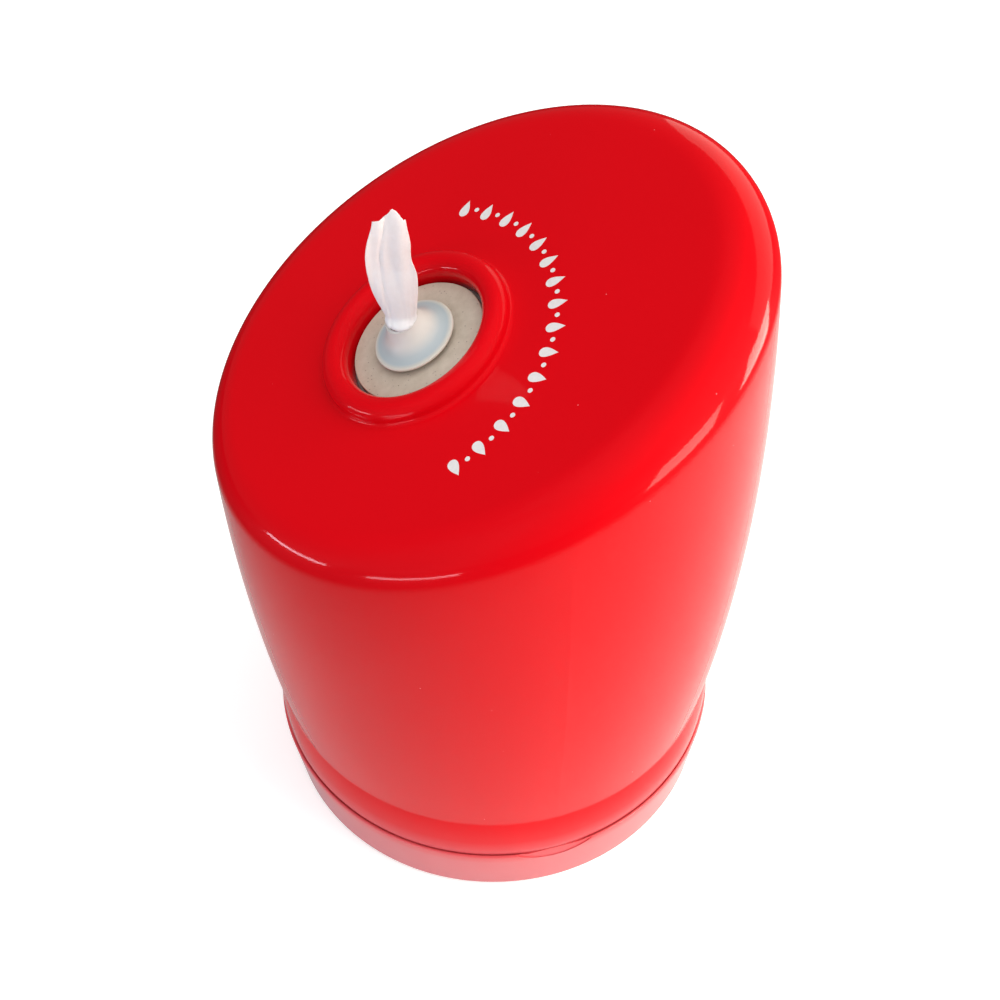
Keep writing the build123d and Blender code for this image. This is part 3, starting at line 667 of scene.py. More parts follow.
# %% Red ABS
def red_abs(name, painted_wash_stops, coat_weight, coat_ior):
    """Gloss red plastic. The painted wash is a list of (height, share of painted pale reflection of the table
    and its bounced light), from the lowest up.
    """
    material, tree, shader = new_material(
        name, IOR=1.5, Roughness=0.08, Specular_IOR_Level=0.12,
        Coat_Weight=coat_weight, Coat_IOR=coat_ior, Coat_Roughness=0.45)
    where = object_space(tree)
    red = mix_colour(tree, noise(tree, where, 14.0, 3.0), linear("#D80310"), linear("#DC0412"))
    dusty = mix_colour(tree, specks(tree, where, 9 * MM, 0.45 * MM, 0.35), red, linear("#F0787C"))
    height = add_node(tree, "ShaderNodeSeparateXYZ", {}, {"Vector": where}).outputs["Z"]
    # Painted light: lower down the red is mixed towards pale pink, as a painted reflection of the pale table
    # and of the light it bounces.
    low, high = painted_wash_stops[0][0], painted_wash_stops[-1][0]
    stops = [((z - low) / (high - low), (amount, amount, amount, 1)) for z, amount in painted_wash_stops]
    amount = colour_ramp(tree, map_range(tree, height, From_Min=low, From_Max=high), stops)
    patchy = map_range(tree, noise(tree, where, 60.0, 4.0), To_Min=0.85, To_Max=1.15)
    painted_wash_share = add_node(tree, "ShaderNodeMath", {"operation": "MULTIPLY"}, {0: amount, 1: patchy})
    waves = bump(tree, noise(tree, where, 45.0, 1.0), 0.25, 0.08 * MM)
    skin = bump(tree, noise(tree, where, 900.0, 2.0), 0.10, 0.01 * MM, over=waves)
    paint(tree, shader, mix_colour(tree, painted_wash_share.outputs[0], dusty, linear("#C49CA4")), skin)
    tree.links.new(skin, shader.inputs["Coat Normal"])
    return material


# Painted reflection of the pale table on the cover's skirt, strongest at the seam.
cover_painted_wash = [(SEAM_Z, 0.30), (SEAM_Z + 5 * MM, 0.16), (SKIRT_TOP_Z, 0.04), (WALL_FOOT_Z, 0.0)]
cover_red = red_abs("gloss_red_abs", cover_painted_wash, 0.08, 1.5)
finish_piece(cover, cover_red, "cover", replaced=["cover_shell"])

# %% [markdown]
# ## The base
#
# The base is the same red plastic: a shoulder just outside the cover's skirt, an outside wall that
# draws in towards the table, a floor, and an upstand that the cover pushes over. It is a turned
# piece. Two shallow thumb notches are cut with a Boolean, and four screw bosses are welded on.

# %% Base tray
tray_low, tray_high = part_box("base_tray")
BASE_TAPER = 3.0 * MM
BASE_EDGE_ROUND = 3.0 * MM
SHOULDER_ROUND = 0.9 * MM
GROOVE_WIDTH = 1.2 * MM                 # groove in the shoulder, just under the skirt's edge
GROOVE_DEPTH = 1.0 * MM
GROOVE_LAND = 0.05 * MM                 # flat between the shoulder's round and the groove
GROOVE_CHAMFER = 0.1 * MM
SEAT_CLEARANCE = 0.4 * MM
UPSTAND_WALL = 3.0 * MM
UPSTAND_ROUND = 0.5 * MM
REBATE_WALL = 6.4 * MM
FLOOR_WALL = 3.0 * MM
FLOOR_CHAMFER = 1.0 * MM
FLOOR_TOP_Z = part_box("liner_bucket")[0].z
SEAL_LOW_Z, SEAL_HIGH_Z = (corner.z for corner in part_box("cover_seal"))
SEAL_DEPTH = 2.0 * MM

base_top_radius = SKIRT_RADIUS + SEAM_STEP
base_foot_radius = base_top_radius - BASE_TAPER
upstand_radius = SKIRT_BORE - SEAT_CLEARANCE
upstand_bore = upstand_radius - UPSTAND_WALL
rebate_radius = base_foot_radius - REBATE_WALL
floor_under = FLOOR_TOP_Z - FLOOR_WALL
foot_round_z = tray_low.z + BASE_EDGE_ROUND
shoulder_z = SEAM_Z - SHOULDER_ROUND
rim_z = tray_high.z - UPSTAND_ROUND
groove_outer = base_top_radius - SHOULDER_ROUND - GROOVE_LAND
groove_inner, groove_floor = groove_outer - GROOVE_WIDTH, SEAM_Z - GROOVE_DEPTH
seal_seat = upstand_radius - SEAL_DEPTH

tray_outline = arc(base_foot_radius - BASE_EDGE_ROUND, foot_round_z, BASE_EDGE_ROUND, 270, 360, 8)
tray_outline += line((base_foot_radius, foot_round_z), (base_top_radius, shoulder_z), 5)[1:-1]
tray_outline += arc(base_top_radius - SHOULDER_ROUND, shoulder_z, SHOULDER_ROUND, 0, 90, 6)
tray_outline += [(groove_outer, SEAM_Z - GROOVE_CHAMFER), (groove_outer - GROOVE_CHAMFER, groove_floor),
                 (groove_inner, groove_floor), (groove_inner, SEAM_Z)]
tray_outline += [(upstand_radius, SEAM_Z), (upstand_radius, SEAL_LOW_Z), (seal_seat, SEAL_LOW_Z),
                 (seal_seat, SEAL_HIGH_Z), (upstand_radius, SEAL_HIGH_Z)]
tray_outline += arc(upstand_radius - UPSTAND_ROUND, rim_z, UPSTAND_ROUND, 0, 90, 3)
tray_outline += arc(upstand_bore + UPSTAND_ROUND, rim_z, UPSTAND_ROUND, 90, 180, 3)
tray_outline += [(upstand_bore, FLOOR_TOP_Z + FLOOR_CHAMFER), (upstand_bore - FLOOR_CHAMFER, FLOOR_TOP_Z),
                 (0, FLOOR_TOP_Z), (0, floor_under), (rebate_radius, floor_under),
                 (rebate_radius, tray_low.z), (base_foot_radius - BASE_EDGE_ROUND, tray_low.z)]
tray = turned("base_tray_moulding", tray_outline, around=192)
print("base tray faces:", len(tray.data.polygons))

# %% Thumb notches
NOTCH_WIDTH = 34.0 * MM
NOTCH_HEIGHT = 5.0 * MM
NOTCH_DEPTH = 2.0 * MM
NOTCH_LEAN = math.radians(13)           # the notch's back leans out towards its lower lip
CUTTER_OVER = 1.0 * MM                  # cutters run past a face by this much, to cut it cleanly

notch_radius = ((NOTCH_WIDTH / 2) ** 2 + NOTCH_HEIGHT**2) / (2 * NOTCH_HEIGHT)
for side in (-1, 1):
    bpy.ops.object.select_all(action="DESELECT")
    bpy.ops.mesh.primitive_cylinder_add(
        vertices=128, radius=notch_radius, depth=2 * NOTCH_DEPTH, rotation=(0, math.pi / 2, 0),
        location=(side * base_top_radius, 0, SEAM_Z - NOTCH_HEIGHT + notch_radius))
    cutter = bpy.context.object
    bpy.ops.object.transform_apply(location=True, rotation=True, scale=True)
    bpy.ops.object.mode_set(mode="EDIT")
    bpy.ops.mesh.select_all(action="SELECT")
    bpy.ops.mesh.bisect(plane_co=(0, 0, SEAM_Z + CUTTER_OVER), plane_no=(0, 0, 1), use_fill=True,
                        clear_outer=True)
    bpy.ops.mesh.select_all(action="SELECT")
    back = (side * (base_top_radius - NOTCH_DEPTH), 0, SEAM_Z)
    bpy.ops.transform.rotate(value=side * NOTCH_LEAN, orient_axis="Y", center_override=back)
    bpy.ops.object.mode_set(mode="OBJECT")
    boolean(tray, "DIFFERENCE", cutter)
print("base tray faces with notches:", len(tray.data.polygons))

# %% Screw bosses under the base's floor
FASTENER_INSET = 10.0 * MM
FASTENER_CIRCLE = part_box("bottom_cover")[1].x - FASTENER_INSET
BASE_BOSS_RADIUS = 4.2 * MM
BASE_BOSS_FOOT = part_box("bottom_cover")[1].z
BASE_PILOT_RADIUS, BASE_PILOT_DEPTH = 1.75 * MM, 7.5 * MM

weld_bosses(tray, FASTENER_CIRCLE, BASE_BOSS_RADIUS, floor_under + MM, BASE_BOSS_FOOT, BASE_PILOT_RADIUS,
            BASE_PILOT_DEPTH)
# Painted reflection of the pale table on the base, strongest at its foot.
base_painted_wash = [(tray_low.z, 0.42), (SEAM_Z - 6 * MM, 0.31), (SEAM_Z - 2 * MM, 0.20), (SEAM_Z, 0.16)]
finish_piece(tray, red_abs("base_red_abs_painted_wash", base_painted_wash, 0.8, 1.85), "base", replaced=["base_tray"])

# %% [markdown]
# ## The nozzle plate
#
# A grey-beige disc fills the collar, with a narrow dark gap round it. Under it a flange carries it.
# The disc is satin, moulded in a filled plastic, and its skin is slightly blotchy, with small flecks
# and a few dark pinholes, which a cloudy noise and two patterns of specks draw. The flange is part of
# the same piece.

# %% Nozzle plate
PLATE_WALL = 2.5 * MM
FLANGE_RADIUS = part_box("nozzle_plate")[1].x
FLANGE_TOP = -6.5 * MM
FLANGE_FOOT = -9.0 * MM
PLATE_EDGE = 0.35 * MM
PLATE_HOLE = 8.3 * MM

plate_under = PLATE_FACE - PLATE_WALL
plate_outline = [(PLATE_HOLE, PLATE_FACE), ((PLATE_HOLE + PLATE_RADIUS) / 2, PLATE_FACE)]
plate_outline += arc(PLATE_RADIUS - PLATE_EDGE, PLATE_FACE - PLATE_EDGE, PLATE_EDGE, 90, 0, 4)
plate_outline += [(PLATE_RADIUS, FLANGE_TOP), (FLANGE_RADIUS, FLANGE_TOP), (FLANGE_RADIUS, FLANGE_FOOT),
                  (PLATE_RADIUS - PLATE_WALL, FLANGE_FOOT), (PLATE_RADIUS - PLATE_WALL, plate_under),
                  (PLATE_HOLE, plate_under), (PLATE_HOLE, PLATE_FACE)]
plate = turned("nozzle_plate_disc", plate_outline, around=128, place=NOZZLE)


def satin_plate():
    """Satin grey-beige plastic with a filler that shows as blotches, flecks and pinholes."""
    material, tree, shader = new_material(
        "satin_grey_beige_plastic", IOR=1.46, Roughness=0.42, Specular_IOR_Level=0.35)
    where = object_space(tree)
    beige = mix_colour(tree, noise(tree, where, 260.0, 5.0, 0.7), linear("#B3A692"), linear("#D9CEBE"))
    flecked = mix_colour(tree, specks(tree, where, 1.4 * MM, 0.55 * MM, 0.35), beige, linear("#A5968A"))
    pinholed = mix_colour(tree, specks(tree, where, 7.5 * MM, 0.7 * MM, 0.30), flecked, linear("#3A302A"))
    paint(tree, shader, pinholed, bump(tree, noise(tree, where, 1500.0, 2.0), 0.3, 0.03 * MM))
    return material


finish_piece(plate, satin_plate(), "cover", replaced=["nozzle_plate"])

# %% [markdown]
# ## The dome
#
# The dome is soft translucent silicone, shaped like a mushroom: a hub snapped over the bush, a thin
# brim that stands just off the plate, and a mouth that grips the wipe. Where the brim is thin, the
# grey plate shows through as a bluish band; the thick middle and the rolled rim look whiter. A colour
# ramp over the distance from the nozzle's axis draws that, and light scatters a little way inside.

# %% Dome
DOME_SKIN = 1.4 * MM
BUSH_FLANGE_RADIUS = 9.6 * MM
BUSH_SEAT = 0.0
BUSH_FLANGE = 1.5 * MM
BUSH_BORE = 6.0 * MM
MOUTH_LENGTH = 2.2 * MM
MOUTH_ROUND, MOUTH_DROP = 0.7 * MM, 0.6 * MM
CROWN_DRAW_IN, CROWN_STEEPNESS = 1.35, 2.6      # how the crown draws in, and steepens towards the mouth
CROWN_EVEN = 0.25                               # share of its height that rises evenly

dome_mouth = PLATE_FACE + DOME_HEIGHT
rim_low = PLATE_FACE + DOME_RIM_LIFT
rim_high = rim_low + DOME_RIM_THICKNESS
brow = MOUTH_RADIUS + DOME_SKIN
hub = BUSH_FLANGE_RADIUS + DOME_SKIN


def crown_point(share):
    """Point of the outline between the rim and the mouth: shallow near the rim, then rising steeply."""
    radius = DOME_RIM_RADIUS + (brow - DOME_RIM_RADIUS) * (1 - (1 - share) ** CROWN_DRAW_IN)
    rise = CROWN_EVEN * share + (1 - CROWN_EVEN) * share**CROWN_STEEPNESS
    return radius, rim_high + (dome_mouth - rim_high) * rise


bush_top = BUSH_SEAT + BUSH_FLANGE
dome_outline = arc(DOME_RIM_RADIUS, (rim_low + rim_high) / 2, DOME_RIM_THICKNESS / 2, -90, 80, 8)
dome_outline += [crown_point(share) for share in shares(24)]
dome_outline += arc(brow - MOUTH_ROUND, dome_mouth - MOUTH_DROP, MOUTH_ROUND, 30, 150, 5)
dome_outline += [(MOUTH_RADIUS, dome_mouth - MOUTH_LENGTH / 2), (MOUTH_RADIUS, dome_mouth - MOUTH_LENGTH),
                 (BUSH_BORE, bush_top + DOME_SKIN), (BUSH_BORE, bush_top), (BUSH_FLANGE_RADIUS, bush_top),
                 (BUSH_FLANGE_RADIUS, BUSH_SEAT), (hub, BUSH_SEAT), (hub, rim_low),
                 ((hub + DOME_RIM_RADIUS) / 2, rim_low), (DOME_RIM_RADIUS, rim_low)]
dome = turned("nozzle_dome_silicone", dome_outline, around=128, place=NOZZLE)


def distance_from_axis(tree):
    """Distance from the nozzle's axis, in metres: the slope's own X and Y, found with a Mapping node."""
    own = NOZZLE.inverted()
    mapping = add_node(tree, "ShaderNodeMapping", {"Location": own.translation, "Rotation": own.to_euler()},
                       {"Vector": object_space(tree)})
    flat = add_node(tree, "ShaderNodeVectorMath", {"operation": "MULTIPLY", 1: (1, 1, 0)},
                    {0: mapping.outputs["Vector"]})
    length = add_node(tree, "ShaderNodeVectorMath", {"operation": "LENGTH"}, {0: flat.outputs[0]})
    return length.outputs["Value"]


def silicone():
    """Translucent silicone: whitish in the middle and at the rim, bluish where the brim is thin."""
    material, tree, shader = new_material(
        "translucent_silicone", IOR=1.41, Roughness=0.38, Subsurface_Weight=0.35, Subsurface_Scale=1.0,
        Subsurface_Radius=(2.0 * MM, 2.0 * MM, 1.8 * MM))
    share = add_node(tree, "ShaderNodeMath", {"operation": "DIVIDE", 1: DOME_RIM_RADIUS + DOME_RIM_THICKNESS},
                     {0: distance_from_axis(tree)})
    stops = ((0.30, "#E6E2DC"), (0.52, "#D9D6CF"), (0.70, "#BAC3C5"), (0.84, "#B4BFC2"), (0.92, "#CFCCC2"),
             (1.0, "#E4DCCD"))
    paint(tree, shader, colour_ramp(tree, share.outputs[0], [(at, linear(colour)) for at, colour in stops]))
    return material


finish_piece(dome, silicone(), "cover", replaced=["nozzle_dome"])

# %% [markdown]
# ## The wipe
#
# The wipe is a damp white nonwoven, 0.35 mm thick. What stands in the mouth is the torn end of the
# strip: a tongue some 64 mm wide that is folded over itself into four layers, pinched together by
# the mouth and opening a little above it. It starts as a flat grid, which is folded by moving its
# points: across the cloth each point runs back and forth between the two edges of the outline, and
# each pass lies a little behind the last. Long creases run up from the pinch, and the top is torn.

# %% The wipe's outline
TAIL_LAYERS = 4
CLOTH = 0.35 * MM
MOUTH_POINT = NOZZLE @ Vector((0, 0, dome_mouth))
ACROSS = Vector((0.25, 0.968, 0)).normalized()      # the cloth's face is turned this way
FORWARD = Vector((0.968, -0.25, 0)).normalized()

# Half outlines above the mouth, as (height, distance along ACROSS), in millimetres
RIGHT_EDGE = ((-4, 3.6), (0, 4.2), (3, 5.2), (8, 5.8), (16, 6.4), (21, 6.2), (27, 4.7), (34, 4.7),
              (42, 3.8), (52, 3.4))
LEFT_EDGE = ((-4, -3.6), (0, -4.2), (6, -6.3), (13, -8.7), (20, -10.1), (28, -10.5), (34, -9.7),
             (42, -7.4), (52, -6.2))
# The torn top, as (distance along ACROSS, height), in millimetres
TORN_TOP = ((-8, 43.5), (-4, 43.8), (-1, 45.4), (1.2, 48.0), (3.2, 46.6), (5, 43.6))


def smooth_through(points, x):
    """Value at x of a smooth line through (x, value) points."""
    if x <= points[0][0]:
        return points[0][1]
    for k in range(len(points) - 1):
        (x0, y0), (x1, y1) = points[k], points[k + 1]
        if x <= x1:
            before = points[max(k - 1, 0)]
            after = points[min(k + 2, len(points) - 1)]
            m0 = (y1 - before[1]) / (x1 - before[0])
            m1 = (after[1] - y0) / (after[0] - x0)
            t, w = (x - x0) / (x1 - x0), x1 - x0
            return ((2 * t**3 - 3 * t**2 + 1) * y0 + (t**3 - 2 * t**2 + t) * w * m0
                    + (-2 * t**3 + 3 * t**2) * y1 + (t**3 - t**2) * w * m1)
    return points[-1][1]


print("torn top, mm above the mouth:", round(smooth_through(TORN_TOP, 1.2), 1))

# %% [markdown]
# The folding is one formula from a place on the flat cloth to a place in the air. Its lengths are in
# millimetres, like the outline's. At the mouth the layers lie in a round bundle, and higher up they
# open into sheets side by side; small waves and creases keep any of it from looking machined.

# %% Fold the wipe
GRID_ACROSS, GRID_UP = 168, 84
WAVE_COUNT = 5
chance = random.Random(7)
WAVES = [(chance.uniform(0.5, 2.2), chance.uniform(0, 6.28), chance.uniform(-1.0, 1.0),
          chance.uniform(0.12, 0.34)) for _ in range(WAVE_COUNT)]    # pitch, phase, drift, size
FIBRE_ENDS = [chance.uniform(-0.45, 0.3) for _ in range(GRID_ACROSS + 1)]
LONG_CREASES = ((-0.42, 0.15, 0.9), (0.10, -0.30, 0.45))             # place across, drift, depth
CREASE_WIDTH, CREASE_MIDDLE = 0.09, 24
IN_MOUTH = 4                    # cloth that stands inside the mouth
TORN_HALF_WIDTH = 5.5
LAYER_DROP = 1.7                # each layer ends this much lower than the one in front of it
LAYER_NARROWER = 0.05
FRAY = 0.5
EDGE_FLATTEN = 0.75             # keeps the passes apart where they turn back at the edges
OPENS_FROM, OPENS_OVER = -1, 24
BULGE_AT, BULGE_SPREAD = 0.6, 1.7       # the cloth swells just above the mouth's lip
BUNDLE_HALF, BULGE_DEPTH, BULGE_WIDTH = 4.3, 2.2, 1.3
SHEETS_DEPTH = 4.6
CURL_FROM, CURL_OVER, CURL_BACK = 30, 16, 1.6


def folded(u, v):
    """Place on the folded wipe of a point u across the cloth and v up it, both from 0 to 1."""
    column = min(GRID_ACROSS, round(u * GRID_ACROSS))
    passes = u * TAIL_LAYERS
    layer = min(int(passes), TAIL_LAYERS - 1)
    swing = -math.cos(math.pi * passes)              # -1 at the left edge, 1 at the right
    swing = math.copysign(abs(swing) ** EDGE_FLATTEN, swing)
    top_here = smooth_through(TORN_TOP, swing * TORN_HALF_WIDTH)
    top_here += FRAY * FIBRE_ENDS[column] - LAYER_DROP * layer
    height = -IN_MOUTH + v * (top_here + IN_MOUTH)
    right = smooth_through(RIGHT_EDGE, height)
    left = smooth_through(LEFT_EDGE, height)
    across = (right + left) / 2 + (right - left) / 2 * swing * (1 - LAYER_NARROWER * layer)
    opened = min(1, max(0, (height - OPENS_FROM) / OPENS_OVER)) ** 1.1
    bulge = math.exp(-((height - BULGE_AT) / BULGE_SPREAD) ** 2)
    roundness = 0.12 + 0.88 * math.sqrt(max(0, 1 - swing**2))
    bundle = (BUNDLE_HALF + BULGE_DEPTH * bulge) * (1 - layer / 1.5) * roundness
    sheets = (0.5 - passes / TAIL_LAYERS) * SHEETS_DEPTH
    depth = (1 - opened) * bundle + opened * sheets
    across += (1 - opened) * BULGE_WIDTH * bulge * swing
    wave = sum(size * math.sin(pitch * across / 1.7 + phase + drift * height / 14)
               for pitch, phase, drift, size in WAVES)
    depth += wave * (0.25 + 0.75 * opened) + 0.9 * math.sin(height / 9 + 1.3) * opened
    for place, drift, crease in LONG_CREASES:
        off = swing - place - drift * (height / CREASE_MIDDLE - 1)
        depth -= crease * math.exp(-abs(off) / CREASE_WIDTH) * (0.4 + 0.6 * opened)
    depth += (1 - opened) * 0.15 * math.sin(across * 4 + layer)
    curl = -CURL_BACK * max(0, (height - CURL_FROM) / CURL_OVER) ** 2
    spot = MOUTH_POINT + Vector((0, 0, height * MM)) + across * MM * ACROSS + (depth + curl) * MM * FORWARD
    inside = max(0, -height)                         # inside the mouth the cloth follows the nozzle's lean
    return spot + Vector((0, math.sin(TOP_SLOPE) * inside, -0.3 * inside)) * MM


bpy.ops.object.select_all(action="DESELECT")
bpy.ops.mesh.primitive_grid_add(x_subdivisions=GRID_ACROSS, y_subdivisions=GRID_UP, size=1)
tail = bpy.context.object
tail.name = "wipe_tail_cloth"
for v in tail.data.vertices:
    v.co = folded(v.co.x + 0.5, v.co.y + 0.5)
apply_modifier(tail, "SOLIDIFY", thickness=CLOTH, offset=0)
print("wipe points:", len(tail.data.vertices))

# %% Nonwoven cloth
def stretched(tree, where, scale):
    """The same coordinates, drawn out or squeezed along each axis."""
    return add_node(tree, "ShaderNodeMapping", {"Scale": scale}, {"Vector": where}).outputs[0]


def nonwoven():
    """Damp white nonwoven: soft, scattering, with fibres that run up the strip."""
    material, tree, shader = new_material(
        "damp_white_nonwoven", IOR=1.4, Roughness=0.85, Specular_IOR_Level=0.2, Sheen_Weight=0.15,
        Subsurface_Weight=0.5, Subsurface_Scale=1.0, Subsurface_Radius=(1.2 * MM, 1.1 * MM, 1.0 * MM))
    where = object_space(tree)
    white = mix_colour(tree, noise(tree, where, 420.0, 4.0, 0.7), linear("#F4F1EE"), linear("#FFFFFF"))
    fibres = noise(tree, stretched(tree, where, (1, 1, 0.25)), 2600.0, 2.0)
    paint(tree, shader, white, bump(tree, fibres, 0.5, 0.12 * MM))
    return material


cloth = nonwoven()
finish_piece(tail, cloth, "wipe", replaced=["wipe_tail"], crease=60)

# %% [markdown]
# Below the mouth the strip hangs gathered inside the cover, as it is drawn out of the roll. It is a
# bundle of narrow pleats with a slow twist. It shows when the cover is off or the wipe is pulled out.

# %% Gathered strand
STRAND_RADIUS = 4.5 * MM
STRAND_REACH = 112.0 * MM
STRAND_TOP = 4.5 * MM                   # it ends this far below the mouth
STRAND_ROWS = 60
PLEATS = 20
PLEAT_POINTS = 6
PLEAT_VALLEY = 0.26                     # radius of a pleat's valley, as a share of the strand's
TWIST = math.radians(200)
strand_low, strand_high = -STRAND_REACH, dome_mouth - STRAND_TOP
strand_length = strand_high - strand_low


def strand_ring(up):
    """Pleated ring of the strand, from its lower end (up 0) to the mouth (up 1)."""
    ring = []
    for k in range(PLEATS * PLEAT_POINTS):
        turn = 2 * math.pi * k / (PLEATS * PLEAT_POINTS) + TWIST * up
        fold = 0.5 + 0.5 * math.cos(PLEATS * (turn - TWIST * up) + 0.8 * math.sin(3 * turn + 9 * up))
        pleat = PLEAT_VALLEY + (1 - PLEAT_VALLEY) * fold
        radius = STRAND_RADIUS * pleat * (1 - 0.06 * math.sin(7 * up + 2 * turn))
        height = strand_low + strand_length * up
        ring.append(NOZZLE @ Vector((radius * math.cos(turn), radius * math.sin(turn), height)))
    return ring


strand = chain_of_rings("wipe_strand_cloth", [strand_ring(up) for up in shares(STRAND_ROWS)])
close_skin(strand, merge=False)
finish_piece(strand, cloth, "wipe", replaced=["wipe_strand"], crease=70)

# %% [markdown]
# ## The print beside the collar
#
# An arc of white marks is pad-printed on the slope round one side of the collar. Here they are plain
# water drops with dots between them. Each mark is a thin flat shape: a circle whose points are pulled
# into a drop, extruded by the thickness of the ink and set on the slope.

# %% Printed drops
PRINT_RADIUS = 65.2 * MM                # middle of the printed band
PRINT_CENTRE = Vector((-1.2, -10.7, 0)) * MM     # from the nozzle's axis, on the slope
PRINT_FROM, PRINT_TO = 46.0, -83.0      # degrees from straight uphill, less than 0 to the right
DROP_HEIGHT = 7.4 * MM
DROP_WIDTH = 4.7 * MM
DROP_BELLY, DROP_POINT = 1.15, 1.3      # how full a drop is below, and how fine above
DOT_RADIUS = 0.95 * MM
DROPS = 15
INK = 0.05 * MM


def flat_mark(outline):
    """A thin printed shape from its outline, upright at the origin."""
    obj = start_circle("mark", len(outline), 1, 0)
    mesh = bmesh.from_edit_mesh(obj.data)
    for v, (x, y) in zip(mesh.verts, outline):
        v.co = (x, y, 0)
    bmesh.update_edit_mesh(obj.data)
    bpy.ops.mesh.edge_face_add()
    bpy.ops.mesh.extrude_region_move(TRANSFORM_OT_translate={"value": (0, 0, INK)})
    return close_skin(obj)


def full_turn(points):
    """Angles of that many points round a full turn."""
    return [2 * math.pi * k / points for k in range(points)]


def drop_outline():
    """A water drop, round below and pointed above."""
    return [(DROP_WIDTH / 2 * DROP_BELLY * math.sin(t) * math.sin(t / 2) ** DROP_POINT,
             DROP_HEIGHT / 2 * math.cos(t)) for t in full_turn(40)]


def dot_outline():
    """A round dot."""
    return [(DOT_RADIUS * math.cos(t), DOT_RADIUS * math.sin(t)) for t in full_turn(20)]


def join_pieces(name, pieces):
    """Joins pieces into the first of them, under a new name."""
    bpy.ops.object.select_all(action="DESELECT")
    for piece in pieces:
        piece.select_set(True)
    bpy.context.view_layer.objects.active = pieces[0]
    bpy.ops.object.join()
    joined = bpy.context.object
    joined.name = name
    return joined


marks = []
steps = 2 * (DROPS - 1)
for k in range(steps + 1):
    degrees = PRINT_FROM + (PRINT_TO - PRINT_FROM) * k / steps
    spot = Matrix.Translation(PRINT_CENTRE) @ Matrix.Rotation(math.radians(degrees), 4, "Z")
    mark = flat_mark(dot_outline() if k % 2 else drop_outline())
    marks.append(set_in_place(mark, NOZZLE @ spot @ Matrix.Translation((0, PRINT_RADIUS, 0))))
drops = join_pieces("printed_drops", marks)


def white_ink():
    """White pad-printing ink, a little worn."""
    material, tree, shader = new_material("white_pad_print_ink", Roughness=0.45, Specular_IOR_Level=0.3)
    worn = noise(tree, object_space(tree), 700.0, 3.0)
    paint(tree, shader, mix_colour(tree, worn, linear("#DCD8D6"), linear("#F1EEEC")))
    return material


finish_piece(drops, white_ink(), "cover")

# %% [markdown]
# ## Under the slope
#
# The plate's flange is clamped up against the collar's lip, with a rubber gasket between. A ring and
# four screws do that, and a rigid bush with a nut holds the dome on the plate. None of it shows until
# the cover is lifted and turned over, so each piece is plain, but it still has its real edges. The
# rubber, the black polypropylene and the plated steel are used again inside the base.

# %% Rubber, polypropylene and steel
def shaded(colour, gain, lift):
    """A second, slightly brighter shade of a colour, to mottle it with."""
    return tuple(min(1, c * gain + lift) for c in colour[:3]) + (1,)


def rubber(name, colour, roughness):
    """Moulded rubber: dark, dull, with a fine dusty mottling."""
    material, tree, shader = new_material(name, IOR=1.5, Roughness=roughness, Specular_IOR_Level=0.3)
    where = object_space(tree)
    base = linear(colour)
    dusty = mix_colour(tree, noise(tree, where, 120.0, 5.0, 0.65), base, shaded(base, 1.9, 0.01))
    paint(tree, shader, dusty, bump(tree, noise(tree, where, 1400.0, 2.0), 0.35, 0.04 * MM))
    return material


def moulded(name, colour, roughness, texture_scale=1100.0, depth=0.03 * MM, strength=0.3):
    """Injection-moulded plastic with a fine spark texture and slight flow shading."""
    material, tree, shader = new_material(name, IOR=1.49, Roughness=roughness, Specular_IOR_Level=0.4)
    where = object_space(tree)
    base = linear(colour)
    flow = mix_colour(tree, noise(tree, where, 30.0, 3.0), base, shaded(base, 1.18, 0.004))
    paint(tree, shader, flow, bump(tree, noise(tree, where, texture_scale, 3.0), strength, depth))
    return material


def zinc_steel(name, colour, roughness):
    """Zinc-plated steel: a metal with a faint cloudy chromate tint and rolling marks."""
    material, tree, shader = new_material(name, Metallic=1.0, Roughness=roughness)
    where = object_space(tree)
    tint = linear(colour)
    warm = (min(1, tint[0] * 1.08), tint[1], tint[2] * 0.86, 1)
    paint(tree, shader, mix_colour(tree, noise(tree, where, 60.0, 4.0), tint, warm))
    marks = noise(tree, stretched(tree, where, (1, 14, 1)), 90.0, 3.0)
    rough = map_range(tree, marks, To_Min=roughness - 0.08, To_Max=roughness + 0.12)
    tree.links.new(rough, shader.inputs["Roughness"])
    return material


epdm = rubber("soft_grey_epdm_rubber", "#85837F", 0.62)
white_pp = moulded("white_polypropylene", "#E4E2DC", 0.36)
black_pp = moulded("black_polypropylene", "#1B1B1D", 0.5, texture_scale=800.0, depth=0.05 * MM, strength=0.5)
zinc = zinc_steel("zinc_plated_steel", "#C9CDD0", 0.32)
print("finishes:", [m.name for m in (epdm, white_pp, black_pp, zinc)])

# %% Gasket and washers
EDGE = 0.25 * MM                        # small chamfer of parts that a hand seldom meets
SLIP = 0.3 * MM                         # room that a ring has round what it slides over
BUSH_RADIUS = 8.0 * MM
NUT_HIGH, NUT_LOW, BUSH_TAIL_END = -4.5 * MM, -9.5 * MM, -11.5 * MM


def ring_outline(inner, outer, low, high, edge):
    """Outline of a flat ring with small chamfers on its edges."""
    return [(inner, low + edge), (inner, high - edge), (inner + edge, high), (outer - edge, high),
            (outer, high - edge), (outer, low + edge), (outer - edge, low), (inner + edge, low),
            (inner, low + edge)]


gasket_outline = ring_outline(PLATE_RADIUS + SLIP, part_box("plate_gasket")[1].x, FLANGE_TOP, -LIP_DEPTH, EDGE)
gasket = turned("plate_gasket_rubber", gasket_outline, around=96, place=NOZZLE)
finish_piece(gasket, epdm, "cover", replaced=["plate_gasket"])

